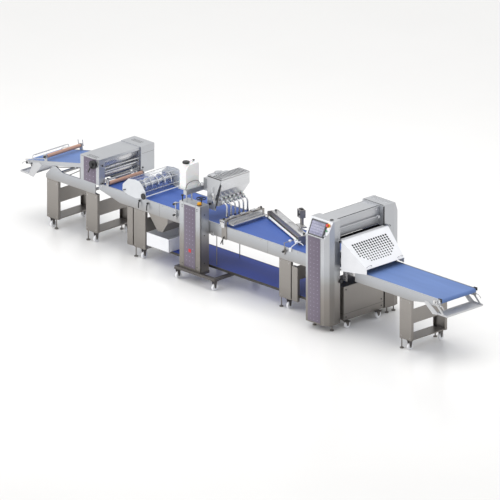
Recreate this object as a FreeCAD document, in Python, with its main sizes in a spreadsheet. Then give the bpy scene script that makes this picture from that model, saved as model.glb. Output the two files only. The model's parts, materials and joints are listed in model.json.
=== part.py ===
"""Dough sheeting and make-up line, modelled as separate pieces.

Millimetres. X runs along the line, from the inclined outfeed conveyor (-X) to the infeed
table (+X). Y runs across the belts, with the operator at -Y. Z is up from the floor, and
the origin is on the floor under the middle of the line.
"""
import FreeCAD, Part
import Sketcher
import math
import os
import re

DIMENSIONS = [
    # belts and side rails shared by the whole line
    ("belt_top", 886, "height of the level belts above the floor"),
    ("belt_half", 325, "half the width of the belts"),
    ("belt_turn", 31, "outer radius of a belt round its end"),
    ("belt_thick", 3, "thickness of a belt"),
    ("bed_half", 318, "half the width of the beds between the belt runs"),
    ("bed_thick", 6, "thickness of a slider bed"),
    ("rail_inner", 330, "inner face of the side rails"),
    ("rail_outer", 345, "outer face of the side rails"),
    ("rail_top", 890, "top edge of the level side rails"),
    ("lip_inner", 300, "inner edge of the rails' folded lower lip"),
    ("lip_thick", 4, "thickness of that lip"),
    ("tie_wide", 30, "side of the square cross ties"),
    ("slack", 0.35, "clearance between a belt and what it slides on"),
    ("wall", 4, "wall of the sheet-metal casings"),
    ("journal", 10, "radius of the small journals"),
    ("running", 0.05, "radial clearance of a running fit"),
    # infeed table
    ("infeed_start", 2120, "inner end of the infeed belt"),
    ("infeed_end", 4051, "outer end of the infeed belt"),
    ("infeed_rail_start", 2396, "inner end of the infeed rails"),
    ("infeed_rail_end", 4036, "outer end of the infeed rails"),
    ("infeed_rail_bottom", 736, "lower edge of the infeed rails"),
    ("infeed_rise_start", 3495, "where the lower edge starts to rise"),
    ("infeed_rise_end", 3732, "where the lower edge stops rising"),
    ("infeed_rise_bottom", 778, "lower edge beyond the rise"),
    ("tray_long", 200, "length of a catch tray along the line"),
    ("tray_top", 692, "rim of the catch trays"),
    ("tray_deep", 26, "depth of the catch trays"),
    ("tray_wall", 2, "wall of the catch trays"),
    ("infeed_tray_start", 3968, "inner edge of the infeed tray"),
    ("outfeed_tray_start", -4168, "outer edge of the outfeed tray"),
    ("arm_thick", 6, "thickness of the tray arms"),
    # stands
    ("post_wide", 225, "width of a stand's posts along the line"),
    ("post_inner", 298, "inner face of the posts"),
    ("post_outer", 343, "outer face of the posts"),
    ("stand_bottom", 148, "underside of the stands"),
    ("panel_low", 400, "lower edge of a stand's cross panel"),
    ("panel_high", 608, "upper edge of a stand's cross panel"),
    ("shelf_low", 150, "underside of a stand's shelf"),
    ("shelf_high", 165, "top of a stand's shelf"),
    ("infeed_stand_x", 3255, "left edge of the infeed stand"),
    ("right_stand_x", 923, "left edge of the table's right stand"),
    ("left_stand_x", -1922, "left edge of the table's left stand"),
    ("inner_head_stand_x", -2867, "left edge of the head's right stand"),
    ("outer_head_stand_x", -3643, "left edge of the head's left stand"),
    ("side_post_wide", 108, "width of the narrow service posts"),
    ("side_post_gap", 22, "gap between a stand and its service post"),
    ("side_post_top", 649, "top of the right service post"),
    # levelling feet and casters
    ("foot_radius", 28, "radius of a levelling foot's pad"),
    ("foot_thick", 12, "thickness of a foot's pad"),
    ("stem_radius", 8, "radius of a levelling stem"),
    ("foot_y", 320, "levelling feet from the centre line"),
    ("foot_inset", 20, "foot from the edge of its stand"),
    ("caster_inset", 152, "caster from the left edge of its stand"),
    ("caster_y", 295, "caster wheels from the centre line"),
    ("wheel_radius", 46, "radius of the caster wheels"),
    ("wheel_half", 15, "half the width of a caster wheel"),
    ("axle_z", 48, "height of the caster axles"),
    ("axle_radius", 6, "radius of a caster axle"),
    ("cheek_thick", 4, "thickness of a fork's cheeks"),
    ("cheek_gap", 2, "gap between a wheel and its fork"),
    ("plate_thick", 6, "thickness of a caster's top plate"),
    ("plate_half", 40, "half the length of a caster's top plate"),
    # sheeter
    ("column_left", 1753, "left face of the sheeter columns"),
    ("column_corner", 2105, "right end of the columns' outer face"),
    ("column_cheek", 2160, "first bend of the bulged right face"),
    ("column_ridge", 2178, "ridge of the bulged right face"),
    ("column_right", 2154, "right face where it meets the inner face"),
    ("column_outer", 650, "outer face of the columns"),
    ("back_outer", 750, "outer face of the back column"),
    ("line_shift", -44.25, "moves the belts' centre line so that the origin is central"),
    ("cheek_in", 50, "first bend inside the outer face"),
    ("ridge_in", 130, "ridge of the bulge inside the outer face"),
    ("front_inner", 391, "inner face of the front column"),
    ("back_inner", 430, "inner face of the back column"),
    ("column_bottom", 90, "underside of the columns"),
    ("column_top", 1576, "top of the columns"),
    ("console_low", 1340, "where the console slope starts"),
    ("console_deep", 104.8, "depth of the console slope"),
    ("console_tilt", 23.94, "console slope from the vertical, degrees"),
    ("head_left", 1772, "left face of the head housing"),
    ("head_right", 2050, "right end of the head housing"),
    ("head_low", 1300, "underside of the head housing"),
    ("head_high", 1550, "top of the head housing"),
    ("door_left", 2053, "inner face of the head cover"),
    ("door_right", 2077, "outer face of the head cover"),
    ("gap", 3, "gap round doors and covers"),
    ("cylinder_x", 1990, "axis of the sheeting cylinders along the line"),
    ("cylinder_radius", 60, "radius of the sheeting cylinders"),
    ("cylinder_gap", 10, "gap between the sheeting cylinders"),
    ("cylinder_journal", 20, "radius of the sheeting cylinders' journals"),
    ("frame_plate", 20, "thickness of the cylinder side frames"),
    ("cabinet_left", 1800, "left face of the base cabinet"),
    ("cabinet_right", 2166, "right face of the base cabinet"),
    ("cabinet_front", -333, "front face of the base cabinet"),
    ("cabinet_back", 428, "back face of the base cabinet"),
    ("cabinet_bottom", 104, "underside of the base cabinet"),
    ("cabinet_top", 590, "top of the base cabinet"),
    ("cabinet_caster_x", 2192, "casters in front of the base cabinet"),
    ("side_frame_low", 590, "lower edge of the cylinder side frames"),
    ("side_frame_high", 1040, "upper edge of the cylinder side frames"),
    # safety hood
    ("hood_left", 2232, "edge of the hood at the sheeter"),
    ("hood_right", 2636, "edge of the hood over the infeed belt"),
    ("hood_top", 1300, "top edge of the hood"),
    ("hood_lip", 971, "lower edge of the hood's sloping panel"),
    ("hood_wide", 448, "half the hood's width at the sheeter"),
    ("hood_narrow", 360, "half the hood's width over the belt"),
    ("hood_low_left", 868, "lower edge of the side panels at the sheeter"),
    ("hood_low_right", 896, "lower edge of the side panels over the belt"),
    ("hood_wall", 3, "thickness of the hood's sheet"),
    ("hole_pitch_across", 45, "hood holes across"),
    ("hole_pitch_down", 37.5, "hood holes down the slope"),
    ("hole_radius_top", 16.5, "radius of the hood's top row of holes"),
    ("hole_radius_bottom", 12, "radius of the hood's bottom row of holes"),
    # make-up table
    ("table_start", -2600, "left end of the table belt"),
    ("table_end", 1925, "right end of the table belt"),
    ("table_rail_start", -2610, "left end of the table rails"),
    ("table_rail_end", 1890, "right end of the table rails"),
    ("table_rail_bottom", 708, "lower edge of the table rails"),
    ("table_slope_top", 803, "lower edge at the left end"),
    ("table_slope_end", -2200, "where that slope ends"),
    ("return_start", -1650, "left end of the return belt"),
    ("return_end", 1500, "right end of the return belt"),
    ("return_half", 285, "half the width of the return belt"),
    ("return_top", 232, "top of the return belt"),
    ("return_turn", 14, "outer radius of the return belt round its ends"),
    ("return_rail", 296, "outer face of the return belt's frame"),
    ("return_rail_low", 200, "lower edge of that frame"),
    ("return_rail_high", 234, "upper edge of that frame"),
    ("rod_x", -389, "the two hanging rods"),
    ("rod_front", -250, "front hanging rod"),
    ("rod_back", 190, "back hanging rod"),
    ("rod_radius", 6, "radius of thin rods"),
    ("rod_low", 240, "lower end of the hanging rods"),
    # guillotine
    ("guillotine_left", -190, "left edge of the guillotine brackets"),
    ("guillotine_right", -95, "right edge of the guillotine brackets"),
    ("guillotine_outer", 375, "outer face of the guillotine brackets"),
    ("guillotine_top", 985, "top of the guillotine beam"),
    ("guillotine_beam_low", 950, "underside of the guillotine beam"),
    ("comb_left", -90, "back of the guillotine comb"),
    ("comb_right", 20, "tips of the guillotine comb"),
    ("comb_low", 925, "underside of the comb"),
    ("comb_high", 937, "top of the comb"),
    ("comb_half", 322, "half the width of the comb"),
    # angled pressing roller
    ("press_x", 103, "back end of the angled housing along the line"),
    ("press_y", 370, "back end of the angled housing across the line"),
    ("press_turn", -22.75, "angle of the housing in plan, degrees"),
    ("press_long", 1143, "length of the angled housing"),
    ("press_half", 55, "half the width of the angled housing"),
    ("press_low", 908, "underside of the angled housing"),
    ("press_high", 1010, "top of the angled housing"),
    ("press_roller_y", -80, "pressing roller beside the housing"),
    ("press_roller_z", 918, "height of the pressing roller"),
    ("press_roller_radius", 16, "radius of the pressing roller"),
    ("press_plate", 8, "end plates of the angled housing"),
    ("sensor_at", 655, "sensor along the housing"),
    ("sensor_out", 138, "sensor behind the housing"),
    ("clamp_x", 1040, "rod clamp on the front rail"),
    # moulding head
    ("head_box_left", -2872, "left face of the head's side boxes"),
    ("head_box_right", -2502, "right face of the head's front box"),
    ("drive_box_right", -2480, "right face of the head's drive box"),
    ("head_box_inner", 335, "inner faces of the side boxes"),
    ("head_box_front", -445, "front face of the front box"),
    ("drive_box_back", 592, "back face of the drive box"),
    ("head_box_low", 905, "underside of the side boxes"),
    ("head_box_high", 1275, "top of the front box"),
    ("drive_box_high", 1286, "top of the drive box"),
    ("cover_low", 1265, "underside of the head's top cover"),
    ("mould_x", -2640, "moulding rollers along the line"),
    ("mould_upper_z", 1140, "upper moulding roller"),
    ("mould_lower_z", 990, "lower moulding roller"),
    ("mould_radius", 58, "radius of the moulding rollers"),
    ("lever_x", -2600, "gap lever along the line"),
    ("lever_z", 1195, "height of the gap lever"),
    ("lever_radius", 60, "radius of the gap lever's disc"),
    ("lever_long", 130, "length of the gap lever"),
    ("head_rail_start", -3659, "left end of the head's rails"),
    ("head_rail_end", -2681, "right end of the head's rails"),
    ("head_rail_bottom", 712, "lower edge of the head's rails"),
    ("head_rail_top", 860, "upper edge of the head's rails"),
    # outfeed conveyor, in its own sloping frame
    ("outfeed_x", -4076, "outer end of the outfeed belt"),
    ("outfeed_z", 858, "height of that end"),
    ("outfeed_slope", 11.45, "rise of the outfeed conveyor, degrees"),
    ("outfeed_long", 1213, "length of the outfeed belt"),
    ("outfeed_turn", 26, "outer radius of the outfeed belt round its ends"),
    ("outfeed_deep", 52, "depth of the outfeed rails"),
    ("wood_radius", 27, "radius of the wooden rollers"),
    ("wood_half", 315, "half the length of the wooden rollers"),
    ("wood_along", 425, "wooden roller along the outfeed conveyor"),
    ("wood_above", 69, "wooden roller above the outfeed belt"),
    ("table_wood_x", -2445, "wooden roller over the table"),
    ("table_wood_z", 925, "height of that roller"),
    # rotary cutter
    ("cutter_x", -1880, "cutter shaft along the line"),
    ("cutter_z", 1000, "height of the cutter shaft"),
    ("cutter_disc", 98, "radius of the cutter discs"),
    ("cutter_bar", 30, "radius of the cutter's drum"),
    ("guard_front", -372, "outer face of the guard's front plate"),
    ("guard_back", 384, "outer face of the guard's back plate"),
    ("guard_plate", 7, "thickness of the guard's end plates"),
    ("guard_hinge_x", -2095, "hinge bar of the guard along the line"),
    ("guard_hinge_z", 935, "height of the guard's hinge bar"),
    ("bracket_half", 45, "half the width of a bearing bracket"),
    # scrap chute and bin
    ("bin_left", -1651, "left face of the scrap bin"),
    ("bin_right", -1221, "right face of the scrap bin"),
    ("bin_front", -361, "front face of the scrap bin"),
    ("bin_back", 240, "back face of the scrap bin"),
    ("bin_low", 236, "underside of the scrap bin"),
    ("bin_high", 420, "rim of the scrap bin"),
    ("chute_half", 305, "half the width of the scrap chute"),
    ("chute_wall", 3, "sheet of the scrap chute"),
    # dosing trolley and depositor
    ("dosing_left", -843, "left face of the dosing column"),
    ("dosing_right", -438, "right face of the dosing column"),
    ("dosing_front", -520, "front face of the dosing column"),
    ("dosing_back", -352, "back face of the dosing column"),
    ("dosing_low", 180, "underside of the dosing column"),
    ("dosing_high", 1131, "top of the dosing column"),
    ("base_low", 142, "underside of the trolley's base frame"),
    ("base_left", -905, "left edge of the base frame"),
    ("base_right", -115, "right edge of the base frame"),
    ("base_front", -560, "front edge of the base frame"),
    ("base_back", 300, "back edge of the base frame"),
    ("base_tube", 50, "width of the base frame's tubes"),
    ("trolley_wheel_radius", 47.5, "radius of the trolley's wheels"),
    ("trolley_front_y", -535, "front wheels of the trolley"),
    ("trolley_back_y", 275, "back wheels of the trolley"),
    ("deck_low", 1292, "underside of the canister shelf"),
    ("deck_high", 1298, "top of the canister shelf"),
    ("deck_left", -890, "left edge of the canister shelf"),
    ("deck_back", -200, "back edge of the canister shelf"),
    ("beam_left", -785, "left face of the beam that carries the pump"),
    ("beam_low", 1228, "underside of the beam"),
    ("canister_left", -880, "left face of the canister"),
    ("canister_right", -757, "right face of the canister"),
    ("canister_front", -480, "front face of the canister"),
    ("canister_back", -230, "back face of the canister"),
    ("canister_high", 1632, "shoulder of the canister"),
    ("hopper_left", -504, "left rim of the hopper"),
    ("hopper_right", -299, "right rim of the hopper"),
    ("hopper_front", -262, "front rim of the hopper"),
    ("hopper_back", 290, "back rim of the hopper"),
    ("hopper_high", 1484, "rim of the hopper"),
    ("hopper_knee", 1328, "where the hopper starts to taper"),
    ("hopper_low", 1180, "bottom of the hopper"),
    ("hopper_wall", 3, "sheet of the hopper"),
    ("grid_bar", 5, "radius of the grid's bars"),
    ("nozzle_first", -197, "first nozzle across the line"),
    ("nozzle_pitch", 79, "spacing of the nozzles"),
    ("nozzle_radius", 12, "radius of a nozzle's tube"),
    ("nozzle_bend", 60, "bend of a nozzle's tube"),
    ("nozzle_x", -244, "nozzle tips along the line"),
    ("nozzle_z", 1150, "height of the nozzles at the manifold"),
    ("nozzle_tip", 930, "height of the nozzle tips"),
    ("manifold_left", -470, "left face of the manifold"),
    ("manifold_right", -330, "right face of the manifold"),
    ("manifold_front", -284, "front end of the manifold"),
    ("manifold_low", 1112, "underside of the manifold"),
    ("hand_wheel_x", -549, "hand wheel along the line"),
    ("hand_wheel_y", -390, "hand wheel across the line"),
    ("hand_wheel_z", 1200, "height of the hand wheel's rim"),
    ("hand_wheel_radius", 62, "radius of the hand wheel's rim"),
    ("trolley_stop_x", -504, "trolley's stop button along the line"),
    ("trolley_stop_y", -470, "trolley's stop button across the line"),
    ("trolley_stop_radius", 27, "radius of the trolley's stop button"),
    # controls
    ("screen_left", 1797, "left edge of the touch screen"),
    ("screen_wide", 286, "width of the touch screen"),
    ("screen_up", 8, "touch screen above the foot of the console slope"),
    ("screen_high", 222, "height of the touch screen"),
    ("screen_thick", 16, "thickness of the touch screen"),
    ("control_x", 2108, "stop button, start button and key along the line"),
    ("stop_up", 198, "stop button up the console slope"),
    ("start_up", 121, "start button up the console slope"),
    ("key_up", 48, "key switch up the console slope"),
    ("stop_radius", 20, "radius of the mushroom buttons"),
    ("stem_fit", 0.4, "clearance round a button's stem"),
]

FUNCTIONS = ("sin", "cos", "tan")
DISC_PLACES = (-240, -120, 0, 120, 240)
NOZZLES = 6
HOLE_COLUMNS = 15
HOLE_ROWS = 9

doc = FreeCAD.newDocument("DoughSheetingLine")
nodes = []


def fill_sheet():
    """Put every driving dimension in the spreadsheet under its own name."""
    table = doc.addObject("Spreadsheet::Sheet", "Dims")
    for row, (name, value, meaning) in enumerate(DIMENSIONS, start=1):
        table.set(f"A{row}", str(value))
        table.setAlias(f"A{row}", name)
        table.set(f"B{row}", meaning)
    doc.recompute()
    return table


sheet = fill_sheet()


def linked(text):
    """Turn 'rail_top - wall' into an expression on the spreadsheet."""
    def link(match):
        word = match.group(0)
        return word if word in FUNCTIONS else "Dims." + word
    return re.sub(r"[a-z][a-z_0-9]*", link, str(text))


def value_of(text):
    """The number that an expression gives now."""
    return float(sheet.evalExpression(linked(text)))


def bind(item, prop, text):
    item.setExpression(prop, linked(text))


def place(item, x, y, z):
    for axis, text in zip("xyz", (x, y, z)):
        bind(item, "Placement.Base." + axis, text)
    return item


def box(x, y, z):
    """A block between the low and high texts of each axis."""
    item = doc.addObject("Part::Box", "block")
    for prop, (low, high) in zip(("Length", "Width", "Height"), (x, y, z)):
        bind(item, prop, f"({high}) - ({low})")
    return place(item, x[0], y[0], z[0])


def rod(axis, centre, span, radius):
    """A cylinder along X, Y or Z; centre gives the two other coordinates in X, Y, Z order."""
    item = doc.addObject("Part::Cylinder", "rod")
    bind(item, "Radius", radius)
    bind(item, "Height", f"({span[1]}) - ({span[0]})")
    turns = {"X": ((0, 1, 0), 90), "Y": ((1, 0, 0), -90), "Z": ((0, 0, 1), 0)}
    direction, angle = turns[axis]
    item.Placement.Rotation = FreeCAD.Rotation(FreeCAD.Vector(*direction), angle)
    at = list(centre)
    at.insert("XYZ".index(axis), span[0])
    return place(item, *at)


def plate(plane, corners, span):
    """An outline on the XY, XZ or YZ plane, padded between the two texts of span."""
    body = doc.addObject("PartDesign::Body", "plate")
    sketch = body.newObject("Sketcher::SketchObject", "outline")
    base = [f for f in body.Origin.OriginFeatures if f.Role == plane + "_Plane"][0]
    sketch.AttachmentSupport = [(base, "")]
    sketch.MapMode = "FlatFace"
    points = [(value_of(u), value_of(v)) for u, v in corners]
    count = len(points)
    for i in range(count):
        start = FreeCAD.Vector(*points[i], 0)
        end = FreeCAD.Vector(*points[(i + 1) % count], 0)
        sketch.addGeometry(Part.LineSegment(start, end))
    for i in range(count):
        sketch.addConstraint(Sketcher.Constraint("Coincident", i, 2, (i + 1) % count, 1))
        for kind, text, value in zip(("DistanceX", "DistanceY"), corners[i], points[i]):
            k = sketch.addConstraint(Sketcher.Constraint(kind, -1, 1, i, 1, value))
            bind(sketch, f"Constraints[{k}]", text)
    pad = body.newObject("PartDesign::Pad", "pad")
    pad.Profile = sketch
    bind(pad, "Length", f"({span[1]}) - ({span[0]})")
    # the XZ plane looks along -Y, so its pad is turned round to grow towards +Y
    pad.Reversed = plane == "XZ"
    across = {"XY": "z", "XZ": "y", "YZ": "x"}[plane]
    bind(body, "Placement.Base." + across, span[0])
    return body


def fuse(items):
    if len(items) == 1:
        return items[0]
    result = doc.addObject("Part::MultiFuse", "joined")
    result.Shapes = items
    return result


def cut(base, tools):
    result = doc.addObject("Part::Cut", "cut")
    result.Base = base
    result.Tool = fuse(tools)
    return result


def common(first, second):
    result = doc.addObject("Part::Common", "overlap")
    result.Base = first
    result.Tool = second
    return result


def group(items):
    result = doc.addObject("Part::Compound", "group")
    result.Links = items
    return result


def both_sides(inner, outer):
    """The same span on the operator's side and on the far side."""
    return [(f"-({outer})", f"-({inner})"), (inner, outer)]


def slope_down(item):
    """Move a piece built in the outfeed conveyor's own frame to its place."""
    item.Placement.Rotation = FreeCAD.Rotation(FreeCAD.Vector(0, -1, 0), 1)
    bind(item, "Placement.Rotation.Angle", "outfeed_slope")
    return place(item, "outfeed_x", "0", "outfeed_z")


def turn_press(item):
    """Move a piece built along the angled housing's own frame to its place."""
    item.Placement.Rotation = FreeCAD.Rotation(FreeCAD.Vector(0, 0, -1), 1)
    bind(item, "Placement.Rotation.Angle", "-press_turn")
    return place(item, "press_x", "press_y", "0")


def lean_console(item, along, up):
    """Put a piece built round its own origin on the sloping console face."""
    item.Placement.Rotation = FreeCAD.Rotation(FreeCAD.Vector(-1, 0, 0), 1)
    bind(item, "Placement.Rotation.Angle", "console_tilt")
    y = f"-column_outer + ({up}) * sin(console_tilt)"
    z = f"console_low + ({up}) * cos(console_tilt)"
    return place(item, along, y, z)


def node(label, piece):
    """Name a finished piece and move it with the line, so that it is checked and written."""
    item = piece if piece.TypeId == "Part::Compound" else group([piece])
    bind(item, "Placement.Base.y", "line_shift")
    item.Label = label
    nodes.append(item)
    return item


def belt_loop(start, end, top, turn, half):
    """A closed belt round two ends of the same radius."""
    def drum(radius):
        middle = f"({top}) - ({turn})"
        first, last = f"({start}) + ({turn})", f"({end}) - ({turn})"
        across = (f"-({half})", half)
        flat = box((first, last), across, (f"{middle} - ({radius})", f"{middle} + ({radius})"))
        return fuse([flat] + [rod("Y", (x, middle), across, radius) for x in (first, last)])
    return cut(drum(turn), [drum(f"({turn}) - belt_thick")])


def slider_bed(start, end, nose, top, turn, wings):
    """A bed plate with a nose bar at one end, its wings reaching the side rails."""
    high = f"({top}) - belt_thick - slack"
    level = (f"{high} - bed_thick", high)
    middle = f"({top}) - ({turn})"
    wide = ("-bed_half", "bed_half")
    pieces = [
        box((start, end), wide, level),
        box(wings, ("-rail_inner", "rail_inner"), level),
        rod("Y", (nose, middle), wide, f"({turn}) - belt_thick - slack"),
    ]
    return fuse(pieces)


def roller(x, z, half, radius, journal_end, journal):
    """A roller across the line with a journal at each end."""
    barrel = rod("Y", (x, z), (f"-({half})", half), radius)
    spindle = rod("Y", (x, z), (f"-({journal_end})", journal_end), journal)
    return fuse([barrel, spindle])


def bores(places, inner, outer, radius):
    """Cutting rods for the journals, through the walls on both sides."""
    return [rod("Y", place_xz, side, f"({radius}) + running")
            for place_xz in places for side in both_sides(f"({inner}) - 5", f"({outer}) + 5")]


# ---------------------------------------------------------------- infeed table
def build_infeed():
    outline = [("infeed_rail_start", "infeed_rail_bottom"),
               ("infeed_rise_start", "infeed_rail_bottom"),
               ("infeed_rise_end", "infeed_rise_bottom"),
               ("infeed_rail_end", "infeed_rise_bottom"),
               ("infeed_rail_end", "rail_top"),
               ("infeed_rail_start", "rail_top")]
    rails = [plate("XZ", outline, side) for side in both_sides("rail_inner", "rail_outer")]
    lip_z = ("infeed_rail_bottom", "infeed_rail_bottom + lip_thick")
    lips = [box(("infeed_rail_start", "infeed_rise_start"), side, lip_z)
            for side in both_sides("lip_inner", "rail_inner")]
    ties = [box((x, f"{x} + tie_wide"), ("-rail_inner", "rail_inner"),
                ("infeed_rail_bottom + 45", "infeed_rail_bottom + 45 + tie_wide"))
            for x in ("infeed_rail_start + 150", "infeed_rail_start + 700",
                      "infeed_rise_start - 100", "infeed_rise_end + 90")]
    roller_at = ("infeed_end - belt_turn", "belt_top - belt_turn")
    frame = cut(fuse(rails + lips + ties),
                bores([roller_at], "rail_inner", "rail_outer", "journal"))
    node("infeed_rails", frame)
    node("infeed_belt", belt_loop("infeed_start", "infeed_end", "belt_top", "belt_turn",
                                  "belt_half"))
    node("infeed_end_roller", roller(*roller_at, "bed_half", "belt_turn - belt_thick - slack",
                                     "rail_outer - 1", "journal"))


def build_beds():
    infeed = slider_bed("infeed_start + belt_turn", "infeed_end - belt_turn - 35",
                        "infeed_start + belt_turn", "belt_top", "belt_turn",
                        ("infeed_rail_start + 20", "infeed_end - 150"))
    table = slider_bed("table_start + belt_turn + 35", "table_end - belt_turn",
                       "table_end - belt_turn", "belt_top", "belt_turn",
                       ("table_start + 100", "table_rail_end - 100"))
    outfeed = slider_bed("outfeed_turn + 30", "outfeed_long - outfeed_turn",
                         "outfeed_long - outfeed_turn", "0", "outfeed_turn",
                         ("outfeed_turn + 60", "outfeed_long - 80"))
    node("slider_beds", group([infeed, table, slope_down(outfeed)]))


def tray(start):
    outer = box((start, f"({start}) + tray_long"), ("-rail_outer", "rail_outer"),
                ("tray_top - tray_deep", "tray_top"))
    inner = box((f"({start}) + tray_wall", f"({start}) + tray_long - tray_wall"),
                ("-rail_outer + tray_wall", "rail_outer - tray_wall"),
                ("tray_top - tray_deep + tray_wall", "tray_top + 1"))
    return cut(outer, [inner])


def build_trays():
    infeed_arm = [("infeed_rise_end + 10", "infeed_rise_bottom"),
                  ("infeed_rise_end + 10", "infeed_rise_bottom + 30"),
                  ("infeed_rise_end + 80", "infeed_rise_bottom + 30"),
                  ("infeed_tray_start + 20", "tray_top"),
                  ("infeed_tray_start + 20", "tray_top - tray_deep"),
                  ("infeed_tray_start - 70", "tray_top - tray_deep - 14")]
    end_arm = [("infeed_tray_start - 10", "infeed_rise_bottom + 20"),
               ("infeed_tray_start + 35", "infeed_rise_bottom + 20"),
               ("infeed_tray_start + 150", "tray_top - 4"),
               ("infeed_tray_start + 110", "tray_top - 4")]
    outfeed_arm = [("outfeed_tray_start + tray_long - 20", "tray_top - tray_deep"),
                   ("outfeed_tray_start + tray_long + 60", "tray_top - tray_deep - 10"),
                   ("outfeed_tray_start + tray_long + 230", "outfeed_z + 10"),
                   ("outfeed_tray_start + tray_long + 180", "outfeed_z + 40"),
                   ("outfeed_tray_start + tray_long + 60", "outfeed_z + 10"),
                   ("outfeed_tray_start + tray_long - 20", "tray_top")]
    pieces = []
    for start, arms in (("infeed_tray_start", [infeed_arm, end_arm]),
                        ("outfeed_tray_start", [outfeed_arm])):
        sides = both_sides("rail_outer", "rail_outer + arm_thick")
        hangers = [plate("XZ", arm, side) for arm in arms for side in sides]
        pieces.append(fuse([tray(start)] + hangers))
    node("catch_trays", group(pieces))


# ---------------------------------------------------------------- stands
def post(left, wide, side, top):
    """A sheet-metal channel, open towards the centre line."""
    low, high = side
    shell = box((left, f"({left}) + ({wide})"), side, ("stand_bottom", top))
    front = low.startswith("-")
    across = (f"{low} + wall", f"{high} + 1") if front else (f"{low} - 1", f"{high} - wall")
    hollow = box((f"({left}) + wall", f"({left}) + ({wide}) - wall"), across,
                 ("stand_bottom + wall", f"({top}) - wall"))
    return cut(shell, [hollow])


def stand(left, top):
    posts = [post(left, "post_wide", side, top)
             for side in both_sides("post_inner", "post_outer")]
    inside = ("-post_inner", "post_inner")
    right = f"({left}) + post_wide"
    panel = box((f"{right} - wall", right), inside, ("panel_low", "panel_high"))
    shelf = box((f"({left}) + 8", f"{right} - 8"), inside, ("shelf_low", "shelf_high"))
    return fuse(posts + [panel, shelf])


def build_stands():
    node("infeed_stand", stand("infeed_stand_x", "infeed_rail_bottom"))
    right = [stand("right_stand_x", "table_rail_bottom")]
    left = [stand("left_stand_x", "table_rail_bottom")]
    for side in both_sides("post_inner", "post_outer"):
        right.append(post("right_stand_x + post_wide + side_post_gap", "side_post_wide", side,
                          "side_post_top"))
        left.append(post("left_stand_x - side_post_gap - side_post_wide", "side_post_wide", side,
                         "table_rail_bottom - 8"))
    for x in ("right_stand_x + post_wide", "left_stand_x - side_post_gap"):
        right += [box((x, f"{x} + side_post_gap"), side, ("shelf_low", "shelf_high"))
                  for side in both_sides("post_inner + 5", "post_outer - 5")]
    head = [stand(x, "head_rail_bottom") for x in ("inner_head_stand_x", "outer_head_stand_x")]
    node("table_stands", group([fuse(right + left)] + head))


def foot(x, y, top):
    pad = rod("Z", (x, y), ("0", "foot_thick"), "foot_radius")
    stem = rod("Z", (x, y), ("foot_thick", top), "stem_radius")
    nut = rod("Z", (x, y), (f"({top}) - 12", top), "stem_radius + 7")
    return fuse([pad, stem, nut])


def build_feet():
    places = [(f"{x} + foot_inset", "foot_y", "stand_bottom")
              for x in ("infeed_stand_x", "right_stand_x", "left_stand_x",
                        "inner_head_stand_x")]
    places.append(("outer_head_stand_x + post_wide - 60", "foot_y", "stand_bottom"))
    feet = [foot(x, f"{sign}({y})", top) for x, y, top in places for sign in ("-", "")]
    feet += [foot(x, y, "column_bottom") for x in ("column_left + 37", "column_corner + 20")
             for y in ("-column_outer + ridge_in", "back_inner + 100", "back_outer - 90")]
    node("levelling_feet", group(feet))


CASTERS = [("infeed_stand_x + caster_inset", "stand_bottom"),
           ("cabinet_caster_x", "cabinet_bottom"),
           ("right_stand_x + caster_inset", "stand_bottom"),
           ("left_stand_x + caster_inset", "stand_bottom"),
           ("inner_head_stand_x + caster_inset", "stand_bottom"),
           ("outer_head_stand_x + 70", "stand_bottom")]


def fork(x, y, top):
    """A caster's top plate, its two cheeks and its axle."""
    reach = "plate_half"
    top_plate = box((f"({x}) - {reach}", f"({x}) + {reach}"), (f"({y}) - 42", f"({y}) + 38"),
                    (f"({top}) - plate_thick", top))
    outline = [(f"({y}) - 36", f"({top}) - plate_thick"), (f"({y}) + 30", f"({top}) - plate_thick"),
               (f"({y}) + 11", "axle_z - 12"), (f"({y}) - 11", "axle_z - 12")]
    near = f"({x}) + wheel_half + cheek_gap"
    far = f"({x}) - wheel_half - cheek_gap"
    cheeks = [plate("YZ", outline, (near, f"{near} + cheek_thick")),
              plate("YZ", outline, (f"{far} - cheek_thick", far))]
    axle = rod("X", (y, "axle_z"), (f"{far} - cheek_thick", f"{near} + cheek_thick"),
               "axle_radius")
    return fuse([top_plate, axle] + cheeks)


def wheel(x, y, radius):
    tyre = rod("X", (y, "axle_z"), (f"({x}) - wheel_half", f"({x}) + wheel_half"), radius)
    bore = rod("X", (y, "axle_z"), (f"({x}) - wheel_half - 1", f"({x}) + wheel_half + 1"),
               "axle_radius + running")
    return cut(tyre, [bore])


def build_casters():
    node("caster_forks", group([fork(x, y, top) for x, top in CASTERS
                                for y in ("-caster_y", "caster_y")]))
    for label, y in (("front_caster_wheels", "-caster_y"), ("back_caster_wheels", "caster_y")):
        node(label, group([wheel(x, y, "wheel_radius") for x, _ in CASTERS]))


# ---------------------------------------------------------------- sheeter
def column_outline(sign, inner, outer, inset):
    """The column in plan: a flat outer face and a bulged right face."""
    return [(f"column_left + {inset}", f"{sign}({inner})"),
            (f"column_left + {inset}", f"{sign}({outer} - {inset})"),
            (f"column_corner - {inset} / 2", f"{sign}({outer} - {inset})"),
            (f"column_cheek - {inset}", f"{sign}({outer} - cheek_in - {inset} / 2)"),
            (f"column_ridge - {inset}", f"{sign}({outer} - ridge_in)"),
            (f"column_right - {inset}", f"{sign}({inner})")]


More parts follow.
